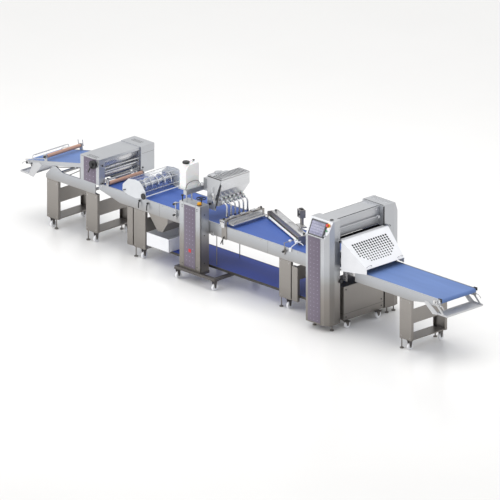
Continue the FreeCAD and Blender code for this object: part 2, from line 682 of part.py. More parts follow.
def column(sign, inner, outer):
    """A hollow column, open below, whose top slopes back on the outer side."""
    solid = plate("XY", column_outline(sign, inner, outer, "0"), ("column_bottom", "column_top"))
    beyond, slope_y = f"{sign}({outer} + 50)", f"{sign}({outer} - console_deep)"
    wedge = plate("YZ", [(f"{sign}{outer}", "console_low"), (slope_y, "column_top"),
                         (slope_y, "column_top + 50"), (beyond, "column_top + 50"),
                         (beyond, "console_low")],
                  ("column_left - 50", "column_ridge + 50"))
    hollow = plate("XY", column_outline(sign, f"{inner} + wall", outer, "wall"),
                   ("column_bottom + wall", "console_low - wall"))
    hinge = box(("column_right - 10", "hood_left + 18"),
                both_sides("hood_wide + 2", "hood_wide + 14")[0 if sign else 1],
                ("hood_top - 22", "hood_top + 16"))
    return fuse([cut(solid, [wedge, hollow]), hinge])


def console_rod(radius, out_low, out_high, up):
    """A round piece square to the console face, between two distances out of it."""
    piece = doc.addObject("Part::Cylinder", "control")
    bind(piece, "Radius", radius)
    bind(piece, "Height", f"({out_high}) - ({out_low})")
    # the cylinder's own axis turns from +Z to the console's outward normal
    piece.Placement.Rotation = FreeCAD.Rotation(FreeCAD.Vector(1, 0, 0), 1)
    bind(piece, "Placement.Rotation.Angle", "90 - console_tilt")
    y = f"-column_outer + ({up}) * sin(console_tilt) - ({out_low}) * cos(console_tilt)"
    z = f"console_low + ({up}) * cos(console_tilt) + ({out_low}) * sin(console_tilt)"
    return place(piece, "control_x", y, z)


def build_columns():
    stems = [console_rod("axle_radius + stem_fit", "-40", "5", up)
             for up in ("stop_up", "start_up", "key_up")]
    node("sheeter_front_column", cut(column("-", "front_inner", "column_outer"), stems))
    node("sheeter_back_column", column("", "back_inner", "back_outer"))
    screen = doc.addObject("Part::Box", "screen")
    bind(screen, "Length", "screen_wide")
    bind(screen, "Width", "screen_thick")
    bind(screen, "Height", "screen_high")
    lean_console(screen, "screen_left", "screen_up")
    # the screen stands proud of the slope by its own thickness and a hair's gap
    proud = "(screen_thick + 0.1)"
    bind(screen, "Placement.Base.y",
         f"-column_outer + screen_up * sin(console_tilt) - {proud} * cos(console_tilt)")
    bind(screen, "Placement.Base.z",
         f"console_low + screen_up * cos(console_tilt) + {proud} * sin(console_tilt)")
    node("touch_screen", screen)


def build_controls():
    stop = [console_rod("axle_radius", "-30", "20", "stop_up"),
            console_rod("stop_radius", "18", "34", "stop_up")]
    node("emergency_stop", fuse(stop))
    start = [console_rod("axle_radius", "-30", "6", "start_up"),
             console_rod("axle_radius + 5", "4", "12", "start_up")]
    node("start_button", fuse(start))
    blade = doc.addObject("Part::Box", "key_blade")
    blade.Length = 4
    blade.Width = 16
    blade.Height = 22
    lean_console(blade, "control_x - 2", "key_up - 11")
    bind(blade, "Placement.Base.y",
         "-column_outer + (key_up - 11) * sin(console_tilt) - 26 * cos(console_tilt)")
    bind(blade, "Placement.Base.z",
         "console_low + (key_up - 11) * cos(console_tilt) + 26 * sin(console_tilt)")
    key = [console_rod("axle_radius", "-30", "6", "key_up"),
           console_rod("axle_radius + 4", "1", "11", "key_up"), blade]
    node("key_switch", fuse(key))


def build_head():
    housing = box(("head_left", "head_right"), ("-front_inner", "back_inner"),
                  ("head_low", "head_high"))
    hollow = box(("head_left + wall", "head_right + 1"),
                 ("-front_inner + wall", "back_inner - wall"),
                 ("head_low - 1", "head_high - wall"))
    node("head_housing", cut(housing, [hollow]))
    door = box(("door_left", "door_right"), ("-front_inner + gap", "back_inner - gap"),
               ("head_low + gap", "head_high - gap"))
    hollow = box(("door_left - 1", "door_right - wall"),
                 ("-front_inner + gap + wall", "back_inner - gap - wall"),
                 ("head_low + gap + wall", "head_high - gap - wall"))
    bar_z = "head_low + 122"
    bar_x = "door_right + 28"
    bar = rod("Y", (bar_x, bar_z), ("-front_inner + 20", "back_inner - 40"), "journal - 1")
    posts = [rod("X", (y, bar_z), ("door_right - 2", bar_x), "axle_radius")
             for y in ("-front_inner + 35", "back_inner - 60")]
    knob = rod("X", ("back_inner - 55", bar_z), ("door_right + 14", "door_right + 52"),
               "cylinder_journal")
    node("head_cover", fuse([cut(door, [hollow]), bar, knob] + posts))


def build_cylinders():
    lower = ("cylinder_x", "belt_top - cylinder_radius")
    upper = ("cylinder_x", "belt_top + cylinder_gap + cylinder_radius")
    front = ("-front_inner", "-front_inner + frame_plate")
    back = ("back_inner - frame_plate", "back_inner")
    frames = [box(("cylinder_x - 95", "cylinder_x + 95"), side,
                  ("side_frame_low", "side_frame_high")) for side in (front, back)]
    tie = box(("cylinder_x - 30", "cylinder_x + 30"), ("-front_inner", "back_inner"),
              ("side_frame_high - 20", "side_frame_high"))
    holes = [rod("Y", at, (f"{side[0]} - 5", f"{side[1]} + 5"), "cylinder_journal + running")
             for at in (lower, upper) for side in (front, back)]
    node("cylinder_side_frames", cut(fuse(frames + [tie]), holes))
    for label, at in (("upper_sheeting_cylinder", upper), ("lower_sheeting_cylinder", lower)):
        barrel = rod("Y", at, (f"{front[1]} + 1", f"{back[0]} - 1"), "cylinder_radius")
        spindle = rod("Y", at, (f"{front[0]} + 0.5", f"{back[1]} - 0.5"), "cylinder_journal")
        node(label, fuse([barrel, spindle]))


def build_cabinet():
    shell = box(("cabinet_left", "cabinet_right"), ("cabinet_front", "cabinet_back"),
                ("cabinet_bottom", "cabinet_top"))
    hollow = box(("cabinet_left + wall", "cabinet_right - wall"),
                 ("cabinet_front + wall", "cabinet_back - wall"),
                 ("cabinet_bottom + wall", "cabinet_top - wall"))
    node("base_cabinet", cut(shell, [hollow]))


def hood_punch():
    """Rows of holes square to the hood's sloping panel, smaller and fewer towards its foot."""
    run = value_of("hood_right - hood_left")
    drop = value_of("hood_top - hood_lip")
    length = math.hypot(run, drop)
    down = FreeCAD.Vector(run / length, 0, -drop / length)
    normal = FreeCAD.Vector(drop / length, 0, run / length)
    corner = FreeCAD.Vector(value_of("hood_left"), 0, value_of("hood_top"))
    first_row = 112
    cutters = []
    for row in range(HOLE_ROWS):
        share = row / (HOLE_ROWS - 1)
        radius = value_of(f"hole_radius_top + (hole_radius_bottom - hole_radius_top) * {share}")
        at_row = corner + down * (first_row + row * value_of("hole_pitch_down"))
        # the last rows lose holes at both ends, which rounds the pattern's lower corners
        lost = max(0, row - 5)
        for place_across in range(lost, HOLE_COLUMNS - lost):
            y = (place_across - (HOLE_COLUMNS - 1) / 2) * value_of("hole_pitch_across")
            base = at_row + FreeCAD.Vector(0, y, 0) - normal * 20
            cutters.append(Part.makeCylinder(radius, 40, base, normal))
    punch = doc.addObject("Part::Feature", "hood_punch")
    punch.Shape = Part.makeCompound(cutters)
    return punch


def build_hood():
    def plan(inset, back, front):
        # the plan narrows evenly, so its edges are worked out where each outline ends
        slope = "(hood_wide - hood_narrow) / (hood_right - hood_left)"
        at = [f"hood_wide - ({x} - hood_left) * {slope} - {inset}" for x in (back, front)]
        return [(back, f"-({at[0]})"), (front, f"-({at[1]})"), (front, at[1]), (back, at[0])]
    fall = "(hood_top - hood_lip) / (hood_right - hood_left)"
    outer = common(
        plate("XY", plan("0", "hood_left", "hood_right"), ("hood_low_left - 20", "hood_top + 20")),
        plate("XZ", [("hood_left", "hood_low_left"), ("hood_right", "hood_low_right"),
                     ("hood_right", "hood_lip"), ("hood_left", "hood_top")],
              ("-hood_wide - 20", "hood_wide + 20")))
    inner = common(
        plate("XY", plan("hood_wall", "hood_left - 40", "hood_right + 40"),
              ("hood_low_left - 40", "hood_top + 60")),
        plate("XZ", [("hood_left - 40", "hood_low_left - 30"),
                     ("hood_right + 40", "hood_low_left - 30"),
                     ("hood_right + 40", f"hood_lip - 40 * {fall} - hood_wall * 1.3"),
                     ("hood_left - 40", f"hood_top + 40 * {fall} - hood_wall * 1.3")],
              ("-hood_wide - 30", "hood_wide + 30")))
    node("safety_hood", cut(outer, [inner, hood_punch()]))


# ---------------------------------------------------------------- make-up table
def build_table():
    outline = [("table_rail_start", "table_slope_top"), ("table_slope_end - 102", "734"),
               ("table_slope_end", "table_rail_bottom"), ("table_rail_end", "table_rail_bottom"),
               ("table_rail_end", "rail_top"), ("table_rail_start", "rail_top")]
    rails = [plate("XZ", outline, side) for side in both_sides("rail_inner", "rail_outer")]
    lip_z = ("table_rail_bottom", "table_rail_bottom + lip_thick")
    lips = [box(("table_slope_end", "table_rail_end"), side, lip_z)
            for side in both_sides("lip_inner", "rail_inner")]
    tie_z = ("table_rail_bottom + 8", "table_rail_bottom + 8 + tie_wide")
    ties = [box((x, f"{x} + tie_wide"), ("-rail_inner", "rail_inner"), tie_z)
            for x in ("table_slope_end + 60", "left_stand_x + 500", "rod_x - 15",
                      "right_stand_x - 300", "table_rail_end - 200")]
    hanging = [rod("Z", ("rod_x", y), ("rod_low", "table_rail_bottom + 20"), "rod_radius")
               for y in ("rod_front", "rod_back")]
    bearings = [box(("cutter_x - bracket_half", "cutter_x + bracket_half"), side,
                    ("rail_top - 30", "cutter_z + bracket_half"))
                for side in both_sides("rail_inner + 3", "rail_outer")]
    ears = [box(("table_wood_x - 24", "table_wood_x + 24"), side,
                ("rail_top - 30", "table_wood_z + 26"))
            for side in both_sides("rail_inner + 3", "rail_outer")]
    hinges = [box(("guard_hinge_x - 18", "guard_hinge_x + 18"), side,
                  ("rail_top - 30", "guard_hinge_z + 18"))
              for side in both_sides("rail_inner + 3", "rail_outer")]
    places = [("table_start + belt_turn", "belt_top - belt_turn"), ("cutter_x", "cutter_z"),
              ("table_wood_x", "table_wood_z"), ("guard_hinge_x", "guard_hinge_z")]
    frame = cut(fuse(rails + lips + ties + hanging + bearings + ears + hinges),
                bores(places, "rail_inner", "rail_outer", "journal"))
    node("table_rails", frame)
    node("table_belt", belt_loop("table_start", "table_end", "belt_top", "belt_turn",
                                 "belt_half"))
    node("table_end_roller", roller("table_start + belt_turn", "belt_top - belt_turn",
                                    "bed_half", "belt_turn - belt_thick - slack",
                                    "rail_outer - 1", "journal"))
    node("table_wooden_roller", roller("table_wood_x", "table_wood_z", "wood_half",
                                       "wood_radius", "rail_outer - 1", "journal"))


def build_return_belt():
    node("return_belt", belt_loop("return_start", "return_end", "return_top", "return_turn",
                                  "return_half"))
    sides = [box(("return_start - 10", "return_end + 10"), side,
                 ("return_rail_low", "return_rail_high"))
             for side in both_sides("return_half + 2", "return_rail")]
    middle = "return_top - return_turn"
    bars = [rod("Y", (x, middle), ("-return_rail", "return_rail"),
                "return_turn - belt_thick - slack")
            for x in ("return_start + return_turn", "return_end - return_turn")]
    bed = box(("return_start + return_turn", "return_end - return_turn"),
              ("-return_half - 2", "return_half + 2"),
              ("return_top - belt_thick - slack - 4", "return_top - belt_thick - slack"))
    lugs = [box((x, f"{x} + 60"), side, ("return_rail_low", "return_rail_high"))
            for x in ("right_stand_x + 40", "right_stand_x + 130")
            for side in both_sides("return_rail - 1", "post_inner")]
    node("return_belt_frame", fuse(sides + bars + [bed] + lugs))


def build_guillotine():
    beam = box(("guillotine_left + 25", "guillotine_right - 15"),
               ("-guillotine_outer", "guillotine_outer"),
               ("guillotine_beam_low", "guillotine_top"))
    ends = [box(("guillotine_left", "guillotine_right"), side, ("rail_top + 6", "guillotine_top"))
            for side in both_sides("rail_outer - 5", "guillotine_outer")]
    cheeks = [box(("guillotine_left", "guillotine_right"), side,
                  ("table_rail_bottom - 6", "rail_top + 8"))
              for side in both_sides("rail_outer", "rail_outer + 8")]
    node("guillotine_frame", fuse([beam] + ends + cheeks))
    wide = ("-comb_half", "comb_half")
    back = box(("comb_left", "comb_left + 8"), wide, ("comb_low", "guillotine_top - 5"))
    strip = box(("comb_left", "comb_right"), wide, ("comb_low", "comb_high"))
    guides = [box(("guillotine_right - 14.5", "comb_left"), side,
                  ("comb_low + 30", "guillotine_top - 5")) for side in both_sides("100", "140")]
    slots = []
    for i in range(20):
        y = f"-comb_half + 20 + {i} * 31"
        slots.append(box(("comb_left + 30", "comb_right - 35"), (y, f"{y} + 14"),
                         ("comb_low - 1", "comb_high + 1")))
    node("guillotine_comb", cut(fuse([back, strip] + guides), slots))


def build_press():
    across = ("-press_half", "press_half")
    height = ("press_low", "press_high")
    shell = box(("0", "press_long"), across, height)
    hollow = box(("press_plate", "press_long - press_plate"),
                 ("-press_half + hood_wall", "press_half - hood_wall"),
                 ("press_low - 1", "press_high - hood_wall"))
    ends = [box(span, ("press_roller_y - 24", "press_half"), ("rail_top", "press_high"))
            for span in (("0", "press_plate"), ("press_long - press_plate", "press_long"))]
    holes = [rod("X", ("press_roller_y", "press_roller_z"), (f"{x} - 5", f"{x} + 15"),
                 "axle_radius + running") for x in ("0", "press_long - press_plate")]
    arm = box(("sensor_at - 20", "sensor_at + 160"), ("press_half", "sensor_out + 15"),
              ("press_high - 12", "press_high"))
    stalk = box(("sensor_at - 15", "sensor_at + 45"), ("sensor_out - 15", "sensor_out + 15"),
                ("press_high", "press_high + 100"))
    eye = box(("sensor_at - 60", "sensor_at + 50"), ("sensor_out - 40", "sensor_out + 40"),
              ("press_high + 92", "press_high + 205"))
    housing = turn_press(cut(fuse([cut(shell, [hollow]), arm, stalk, eye] + ends), holes))
    clamp_y = "rail_outer + 12"
    clamp = [box(("clamp_x - 20", "clamp_x + 20"), ("-rail_outer - 24", "-rail_outer"),
                 ("rail_top - 80", "rail_top - 40")),
             rod("Z", ("clamp_x", f"-({clamp_y})"), ("rail_top - 110", "press_high - 55"),
                 "rod_radius"),
             rod("Y", ("clamp_x", "press_high - 60"), (f"-({clamp_y} + 15)", "-70"),
                 "rod_radius - 1")]
    node("angled_roller_housing", fuse([housing] + clamp))
    centre = ("press_roller_y", "press_roller_z")
    barrel = rod("X", centre, ("press_plate + 1", "press_long - press_plate - 1"),
                 "press_roller_radius")
    spindle = rod("X", centre, ("0.5", "press_long - 0.5"), "axle_radius")
    node("angled_pressing_roller", turn_press(fuse([barrel, spindle])))


# ---------------------------------------------------------------- moulding head and outfeed
def build_moulding_head():
    places = [("mould_x", "mould_upper_z"), ("mould_x", "mould_lower_z")]
    front_y = ("head_box_front", "-head_box_inner")
    back_y = ("head_box_inner", "drive_box_back")
    boxes = []
    for x_end, y, high in (("head_box_right", front_y, "head_box_high"),
                           ("drive_box_right", back_y, "drive_box_high")):
        shell = box(("head_box_left", x_end), y, ("head_box_low", high))
        hollow = box(("head_box_left + wall", f"{x_end} - wall"),
                     (f"{y[0]} + wall", f"{y[1]} - wall"),
                     ("head_box_low + wall", f"{high} - wall"))
        boxes.append(cut(shell, [hollow]))
    holes = bores(places, "head_box_inner", "head_box_inner + wall", "journal")
    holes.append(rod("Y", ("lever_x", "lever_z"), ("head_box_front - 5", "head_box_front + 10"),
                     "journal + running"))
    node("head_side_boxes", cut(fuse(boxes), holes))
    wide = ("-head_box_inner", "head_box_inner")
    cover = [box(("head_box_left", "head_box_right"), wide, ("cover_low", "head_box_high")),
             box(("head_box_right - 10", "head_box_right"), wide, ("cover_low - 28", "cover_low")),
             box(("head_box_left", "head_box_left + 10"), wide, ("cover_low - 120", "cover_low")),
             box(("mould_x + 20", "mould_x + 60"), wide, ("head_box_low", "head_box_low + 8"))]
    node("head_top_cover", fuse(cover))
    for label, (x, z) in zip(("upper_moulding_roller", "lower_moulding_roller"), places):
        node(label, roller(x, z, "head_box_inner - 2", "mould_radius",
                           "head_box_inner + wall - 0.5", "journal"))
    disc = rod("Y", ("lever_x", "lever_z"), ("head_box_front - 42", "head_box_front - 3"),
               "lever_radius")
    pin = rod("Y", ("lever_x", "lever_z"), ("head_box_front - 5", "head_box_front + wall"),
              "journal")
    arm = doc.addObject("Part::Cylinder", "lever_arm")
    bind(arm, "Radius", "journal")
    bind(arm, "Height", "lever_long")
    # the arm points down and towards -X, 27 degrees from the vertical
    arm.Placement.Rotation = FreeCAD.Rotation(FreeCAD.Vector(0, 1, 0), 180 + 27)
    place(arm, "lever_x", "head_box_front - 54", "lever_z")
    hub = rod("Y", ("lever_x", "lever_z"), ("head_box_front - 66", "head_box_front - 40"),
              "journal + 12")
    node("gap_lever", fuse([disc, pin, arm, hub]))


def build_head_rails():
    outline = [("head_rail_start", "head_rail_bottom"), ("head_rail_start", "768"),
               ("-3520", "912"), ("-3465", "922"), ("-3330", "head_rail_top"),
               ("head_rail_end", "head_rail_top"), ("head_rail_end", "head_rail_bottom")]
    rails = [plate("XZ", outline, side) for side in both_sides("rail_inner", "rail_outer")]
    lips = [box(("head_rail_start", "head_rail_end"), side,
                ("head_rail_bottom", "head_rail_bottom + lip_thick"))
            for side in both_sides("lip_inner", "rail_inner")]
    ties = [box((x, f"{x} + tie_wide"), ("-rail_inner", "rail_inner"),
                ("head_rail_bottom + 20", "head_rail_bottom + 20 + tie_wide"))
            for x in ("head_rail_start + 60", "head_rail_start + 520", "head_rail_end - 90")]
    spacers = [box((x, f"{x} + 60"), side, ("head_rail_top - 5", "head_box_low"))
               for x in ("head_box_left + 20", "head_rail_end - 70")
               for side in both_sides("head_box_inner", "rail_outer")]
    props = [box(("head_box_left - 40", "head_box_left - 15"), side,
                 ("head_rail_top - 5", "1040")) for side in both_sides("rail_inner", "rail_outer")]
    node("head_rails", fuse(rails + lips + ties + spacers + props))


def build_outfeed():
    belt = belt_loop("0", "outfeed_long", "0", "outfeed_turn", "belt_half")
    node("outfeed_belt", slope_down(belt))
    sides = both_sides("rail_inner", "rail_outer")
    rails = [box(("16", "outfeed_long - 25"), side, ("-outfeed_deep", "4")) for side in sides]
    ears = [box(("wood_along - 28", "wood_along + 28"), side, ("-outfeed_deep", "wood_above + 30"))
            for side in sides]
    ties = [box((x, f"{x} + 20"), ("-rail_outer", "rail_outer"),
                ("-outfeed_deep - 22", "-outfeed_deep - 2")) for x in ("180", "1000")]
    hangers = [box((x, f"{x} + 20"), side, ("-outfeed_deep - 22", "-outfeed_deep + 5"))
               for x in ("180", "1000") for side in sides]
    places = [("outfeed_turn", "-outfeed_turn"), ("wood_along", "wood_above")]
    frame = cut(fuse(rails + ears + ties + hangers),
                bores(places, "rail_inner", "rail_outer", "journal"))
    node("outfeed_frame", slope_down(frame))
    end = roller("outfeed_turn", "-outfeed_turn", "bed_half",
                 "outfeed_turn - belt_thick - slack", "rail_outer - 1", "journal")
    node("outfeed_end_roller", slope_down(end))
    wooden = roller("wood_along", "wood_above", "wood_half", "wood_radius", "rail_outer - 1",
                    "journal")
    node("outfeed_wooden_roller", slope_down(wooden))


# ---------------------------------------------------------------- rotary cutter
def build_cutter():
    at = ("cutter_x", "cutter_z")
    drum = rod("Y", at, ("-belt_half", "belt_half"), "cutter_bar")
    spindle = rod("Y", at, ("-rail_outer + 1", "rail_outer - 1"), "journal")
    discs = [rod("Y", at, (f"{y} - 8", f"{y} + 8"), "cutter_disc") for y in DISC_PLACES]
    node("rotary_cutter", fuse([drum, spindle] + discs))
    outline = [(-2117, 920), (-2111, 1015), (-2003, 1114), (-1872, 1134), (-1788, 1128),
               (-1731, 1080), (-1671, 1006), (-1657, 912), (-1855, 868), (-2013, 884)]
    ends = [plate("XZ", outline, ("guard_front", "guard_front + guard_plate")),
            plate("XZ", outline, ("guard_back - guard_plate", "guard_back"))]
    bars = [rod("Y", at_bar, ("guard_front + 2", "guard_back - 2"), radius)
            for at_bar, radius in ((("guard_hinge_x", "guard_hinge_z"), "journal"),
                                   (("-1680", "925"), "rod_radius + 2"))]
    node("cutter_guard_frame", fuse(ends + bars))
    outer = [(-2108, 960), (-2108, 1014), (-2002, 1111), (-1872, 1131), (-1790, 1125),
             (-1734, 1078), (-1675, 1003), (-1668, 950)]
    inner = [(x + dx, z + dz) for (x, z), (dx, dz) in zip(
        outer, ((5, 0), (5, -2), (2, -5), (0, -5), (-2, -5), (-4, -3), (-5, -2), (-5, 0)))]
    shell = plate("XZ", outer + inner[::-1], ("guard_front + guard_plate",
                                               "guard_back - guard_plate"))
    node("cutter_guard_window", shell)


def build_scrap():
    outer = [("-1690", "table_rail_bottom"), ("-1500", "470"), ("-1400", "470"),
             ("-1300", "620"), ("-1300", "table_rail_bottom")]
    inner = [("-1690 + 6", "table_rail_bottom + 1"), ("-1500 + 4", "470 - 1"),
             ("-1400 - 4", "470 - 1"), ("-1300 - 3", "621"), ("-1300 - 3", "table_rail_bottom + 1")]
    chute = cut(plate("XZ", outer, ("-chute_half", "chute_half")),
                [plate("XZ", inner, ("-chute_half + chute_wall", "chute_half - chute_wall"))])
    node("scrap_chute", chute)
    shell = box(("bin_left", "bin_right"), ("bin_front", "bin_back"), ("bin_low", "bin_high"))
    hollow = box(("bin_left + wall", "bin_right - wall"), ("bin_front + wall", "bin_back - wall"),
                 ("bin_low + wall", "bin_high + 1"))
    node("scrap_bin", cut(shell, [hollow]))


# ---------------------------------------------------------------- dosing trolley
def build_trolley():
    shell = box(("dosing_left", "dosing_right"), ("dosing_front", "dosing_back"),
                ("dosing_low", "dosing_high"))
    hollow = box(("dosing_left + wall", "dosing_right - wall"),
                 ("dosing_front + wall", "dosing_back - wall"),
                 ("dosing_low + wall", "dosing_high - 20"))
    posts = [rod("Z", ("beam_left + 30", y), ("dosing_high - 5", "beam_low + 2"), "journal")
             for y in ("dosing_front + 50", "dosing_back - 20")]
    beam = box(("beam_left", "beam_left + 60"), ("dosing_front + 20", "-100"),
               ("beam_low", "deck_low + 1"))
    block = box(("beam_left", "-700"), ("-160", "-100"), ("beam_low", "deck_low + 1"))
    shelf = box(("deck_left", "beam_left + 60"), ("dosing_front + 15", "deck_back"),
                ("deck_low", "deck_high"))
    shaft_bore = rod("Z", ("hand_wheel_x", "hand_wheel_y"), ("dosing_high - 30", "dosing_high + 5"),
                     "journal + running")
    stop_bore = rod("Z", ("trolley_stop_x", "trolley_stop_y"),
                    ("dosing_high - 30", "dosing_high + 5"), "axle_radius + stem_fit")
    node("dosing_column", cut(fuse([cut(shell, [hollow]), beam, block, shelf] + posts), [shaft_bore, stop_bore]))

    height = ("base_low", "dosing_low")
    tubes = [box(("base_left", "base_right"), ("base_front", "base_front + base_tube"), height),
             box(("base_left", "base_left + base_tube"), ("base_front", "base_back"), height),
             box(("base_right - base_tube", "base_right"), ("base_front", "base_back"), height),
             box(("dosing_left - 5", "dosing_right + 5"), ("base_front + 20", "dosing_back + 5"),
                 height)]
    wheel_x = ("base_left + 40", "base_right - 38")
    forks = [fork(x, y, "base_low") for x in wheel_x for y in ("trolley_front_y + 12",
                                                               "trolley_back_y - 12")]
    node("trolley_base", fuse(tubes + forks))
    for label, y in (("trolley_front_wheels", "trolley_front_y + 12"),
                     ("trolley_back_wheels", "trolley_back_y - 12")):
        node(label, group([wheel(x, y, "trolley_wheel_radius") for x in wheel_x]))

    rim = doc.addObject("Part::Torus", "rim")
    bind(rim, "Radius1", "hand_wheel_radius")
    rim.Radius2 = 7
    place(rim, "hand_wheel_x", "hand_wheel_y", "hand_wheel_z")
    shaft = rod("Z", ("hand_wheel_x", "hand_wheel_y"), ("dosing_high - 19", "hand_wheel_z + 8"),
                "journal")
    spokes = [rod("X", ("hand_wheel_y", "hand_wheel_z"),
                  ("hand_wheel_x - hand_wheel_radius", "hand_wheel_x + hand_wheel_radius"), "5"),
              rod("Y", ("hand_wheel_x", "hand_wheel_z"),
                  ("hand_wheel_y - hand_wheel_radius", "hand_wheel_y + hand_wheel_radius"), "5")]
    node("hand_wheel", fuse([rim, shaft] + spokes))
    at = ("trolley_stop_x", "trolley_stop_y")
    node("trolley_stop", fuse([rod("Z", at, ("dosing_high - 18", "dosing_high + 24"),
                                   "axle_radius"),
                               rod("Z", at, ("dosing_high + 22", "dosing_high + 38"),
                                   "trolley_stop_radius")]))


def build_canister():
    outline = [("canister_front", "deck_high"), ("canister_front", "canister_high - 70"),
               ("canister_front + 60", "canister_high"), ("canister_back - 15", "canister_high + 10"),
               ("canister_back", "canister_high - 20"), ("canister_back", "deck_high")]
    can = plate("YZ", outline, ("canister_left", "canister_right"))
    middle = "(canister_left + canister_right) / 2"
    neck = rod("Z", (middle, "canister_front + 62"), ("canister_high - 60", "canister_high + 34"),
               "44")
    spout = rod("Z", (middle, "canister_back - 45"), ("canister_high - 20", "canister_high + 30"),
                "14")
    node("release_oil_canister", fuse([can, neck, spout]))


def build_depositor():
    def funnel(inset, extra):
        edge = f"{inset}"
        along = plate("XZ", [
            (f"hopper_right - {edge}", f"hopper_high + {extra}"),
            (f"hopper_right - {edge}", "hopper_knee"), (f"-365 - {edge}", f"hopper_low - {extra}"),
            (f"-450 + {edge}", f"hopper_low - {extra}"), (f"hopper_left + {edge}", "hopper_knee"),
            (f"hopper_left + {edge}", f"hopper_high + {extra}")],
            ("hopper_front - 20", "hopper_back + 20"))
        across = plate("YZ", [
            (f"hopper_front + {edge}", f"hopper_high + {extra}"),
            (f"hopper_front + {edge}", f"hopper_low - {extra}"),
            (f"221 - {edge}", f"hopper_low - {extra}"), (f"hopper_back - {edge}", "hopper_knee"),
            (f"hopper_back - {edge}", f"hopper_high + {extra}")],
            ("hopper_left - 20", "hopper_right + 20"))
        return common(along, across)
    node("hopper", cut(funnel("0", "0"), [funnel("hopper_wall", "1")]))

    edge_z = ("hopper_high + 2", "hopper_high + 14")
    x_span = ("hopper_left + 2", "hopper_right - 2")
    y_span = ("hopper_front + 2", "hopper_back - 2")
    frame = cut(box(x_span, y_span, edge_z),
                [box((f"{x_span[0]} + 12", f"{x_span[1]} - 12"),
                     (f"{y_span[0]} + 12", f"{y_span[1]} - 12"),
                     ("hopper_high", "hopper_high + 20"))])
    bars = [rod("X", (f"hopper_front + 30 + {i} * 41", "hopper_high + 8"),
                (f"{x_span[0]} + 4", f"{x_span[1]} - 4"), "grid_bar") for i in range(13)]
    node("hopper_grid", fuse([frame] + bars))

    side_plate = plate("XZ", [("-535", "1040"), ("-367", "1040"), ("-367", "1062"),
                              ("-384", "1199"), ("-253", "1525"), ("-535", "1521")],
                       ("manifold_front - 6", "manifold_front"))
    manifold = box(("manifold_left", "manifold_right"), ("manifold_front", "221"),
                   ("manifold_low", "hopper_low"))
    pump = box(("-700", "-540"), ("deck_back", "240"), ("1240", "1420"))
    bridge = box(("-600", "manifold_left"), ("-150", "200"), ("1130", "1165"))
    upright = box(("-600", "-560"), ("-150", "200"), ("1130", "1245"))
    node("depositor_pump", fuse([side_plate, manifold, pump, bridge, upright]))

    tubes = []
    for i in range(NOZZLES):
        y = f"nozzle_first + {i} * nozzle_pitch"
        level = rod("X", (y, "nozzle_z"), ("manifold_right", "nozzle_x - nozzle_bend"),
                    "nozzle_radius")
        bend = doc.addObject("Part::Torus", "bend")
        bind(bend, "Radius1", "nozzle_bend")
        bind(bend, "Radius2", "nozzle_radius")
        bend.Angle3 = 90
        bend.Placement.Rotation = FreeCAD.Rotation(FreeCAD.Vector(1, 0, 0), 90)
        place(bend, "nozzle_x - nozzle_bend", y, "nozzle_z - nozzle_bend")
        drop = rod("Z", ("nozzle_x", y), ("nozzle_tip", "nozzle_z - nozzle_bend"),
                   "nozzle_radius")
        collar = rod("Z", ("nozzle_x", y), ("nozzle_tip + 35", "nozzle_tip + 60"),
                     "nozzle_radius + 4")
        valve = rod("X", (y, "nozzle_z"), ("manifold_right", "manifold_right + 16"), "27")
        tubes.append(fuse([level, bend, drop, collar, valve]))
    node("dosing_nozzles", group(tubes))


def check():
    """Stop if any object failed, or if a piece has no valid shape."""
    for item in doc.Objects:
        if "Invalid" in item.State or "Error" in item.State:
            raise RuntimeError(f"{item.Name} ({item.Label}) failed: {item.State}")
    for item in nodes:
        shape = item.Shape
        if shape.isNull() or not shape.isValid() or not shape.Solids:
            raise RuntimeError(f"{item.Label} has no valid solid")


def write():
    os.makedirs("parts", exist_ok=True)
    for item in nodes:
        item.Shape.exportStep(f"parts/{item.Label}.step")
    print(f"{len(nodes)} nodes written")


def main():
    build_infeed()
    build_beds()
    build_trays()
    build_stands()
    build_feet()
    build_casters()
    build_columns()
    build_controls()
    build_head()
    build_cylinders()
    build_cabinet()
    build_hood()
    build_table()
    build_return_belt()
    build_guillotine()
    build_press()
    build_moulding_head()
    build_head_rails()
    build_outfeed()
    build_cutter()
    build_scrap()
    build_trolley()
    build_canister()
    build_depositor()
    doc.recompute()
    check()
    write()


main()
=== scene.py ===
"""The looks of the dough sheeting and make-up line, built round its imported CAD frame.

Sizes in the calls below are millimetres in the CAD frame; MM turns them into metres.
"""

import json
import math

import bmesh
import bpy
from mathutils import Matrix, Vector


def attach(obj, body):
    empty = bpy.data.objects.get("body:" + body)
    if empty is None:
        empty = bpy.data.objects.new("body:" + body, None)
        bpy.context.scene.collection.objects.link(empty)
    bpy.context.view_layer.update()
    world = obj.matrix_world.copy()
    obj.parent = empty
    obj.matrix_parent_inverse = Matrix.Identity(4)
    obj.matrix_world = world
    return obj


MM = 0.001
UP = Vector((0, 0, 1))
# the belts' centre line runs this far in front of the CAD origin
LINE_Y = -44.25

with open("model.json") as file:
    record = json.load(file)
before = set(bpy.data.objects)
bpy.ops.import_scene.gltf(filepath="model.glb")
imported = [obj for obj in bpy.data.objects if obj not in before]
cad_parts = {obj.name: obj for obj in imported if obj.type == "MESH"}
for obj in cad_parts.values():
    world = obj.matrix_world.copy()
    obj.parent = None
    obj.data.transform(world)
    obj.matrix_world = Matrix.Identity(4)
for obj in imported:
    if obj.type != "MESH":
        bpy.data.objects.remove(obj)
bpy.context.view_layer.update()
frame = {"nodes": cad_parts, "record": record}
nodes = frame["nodes"]


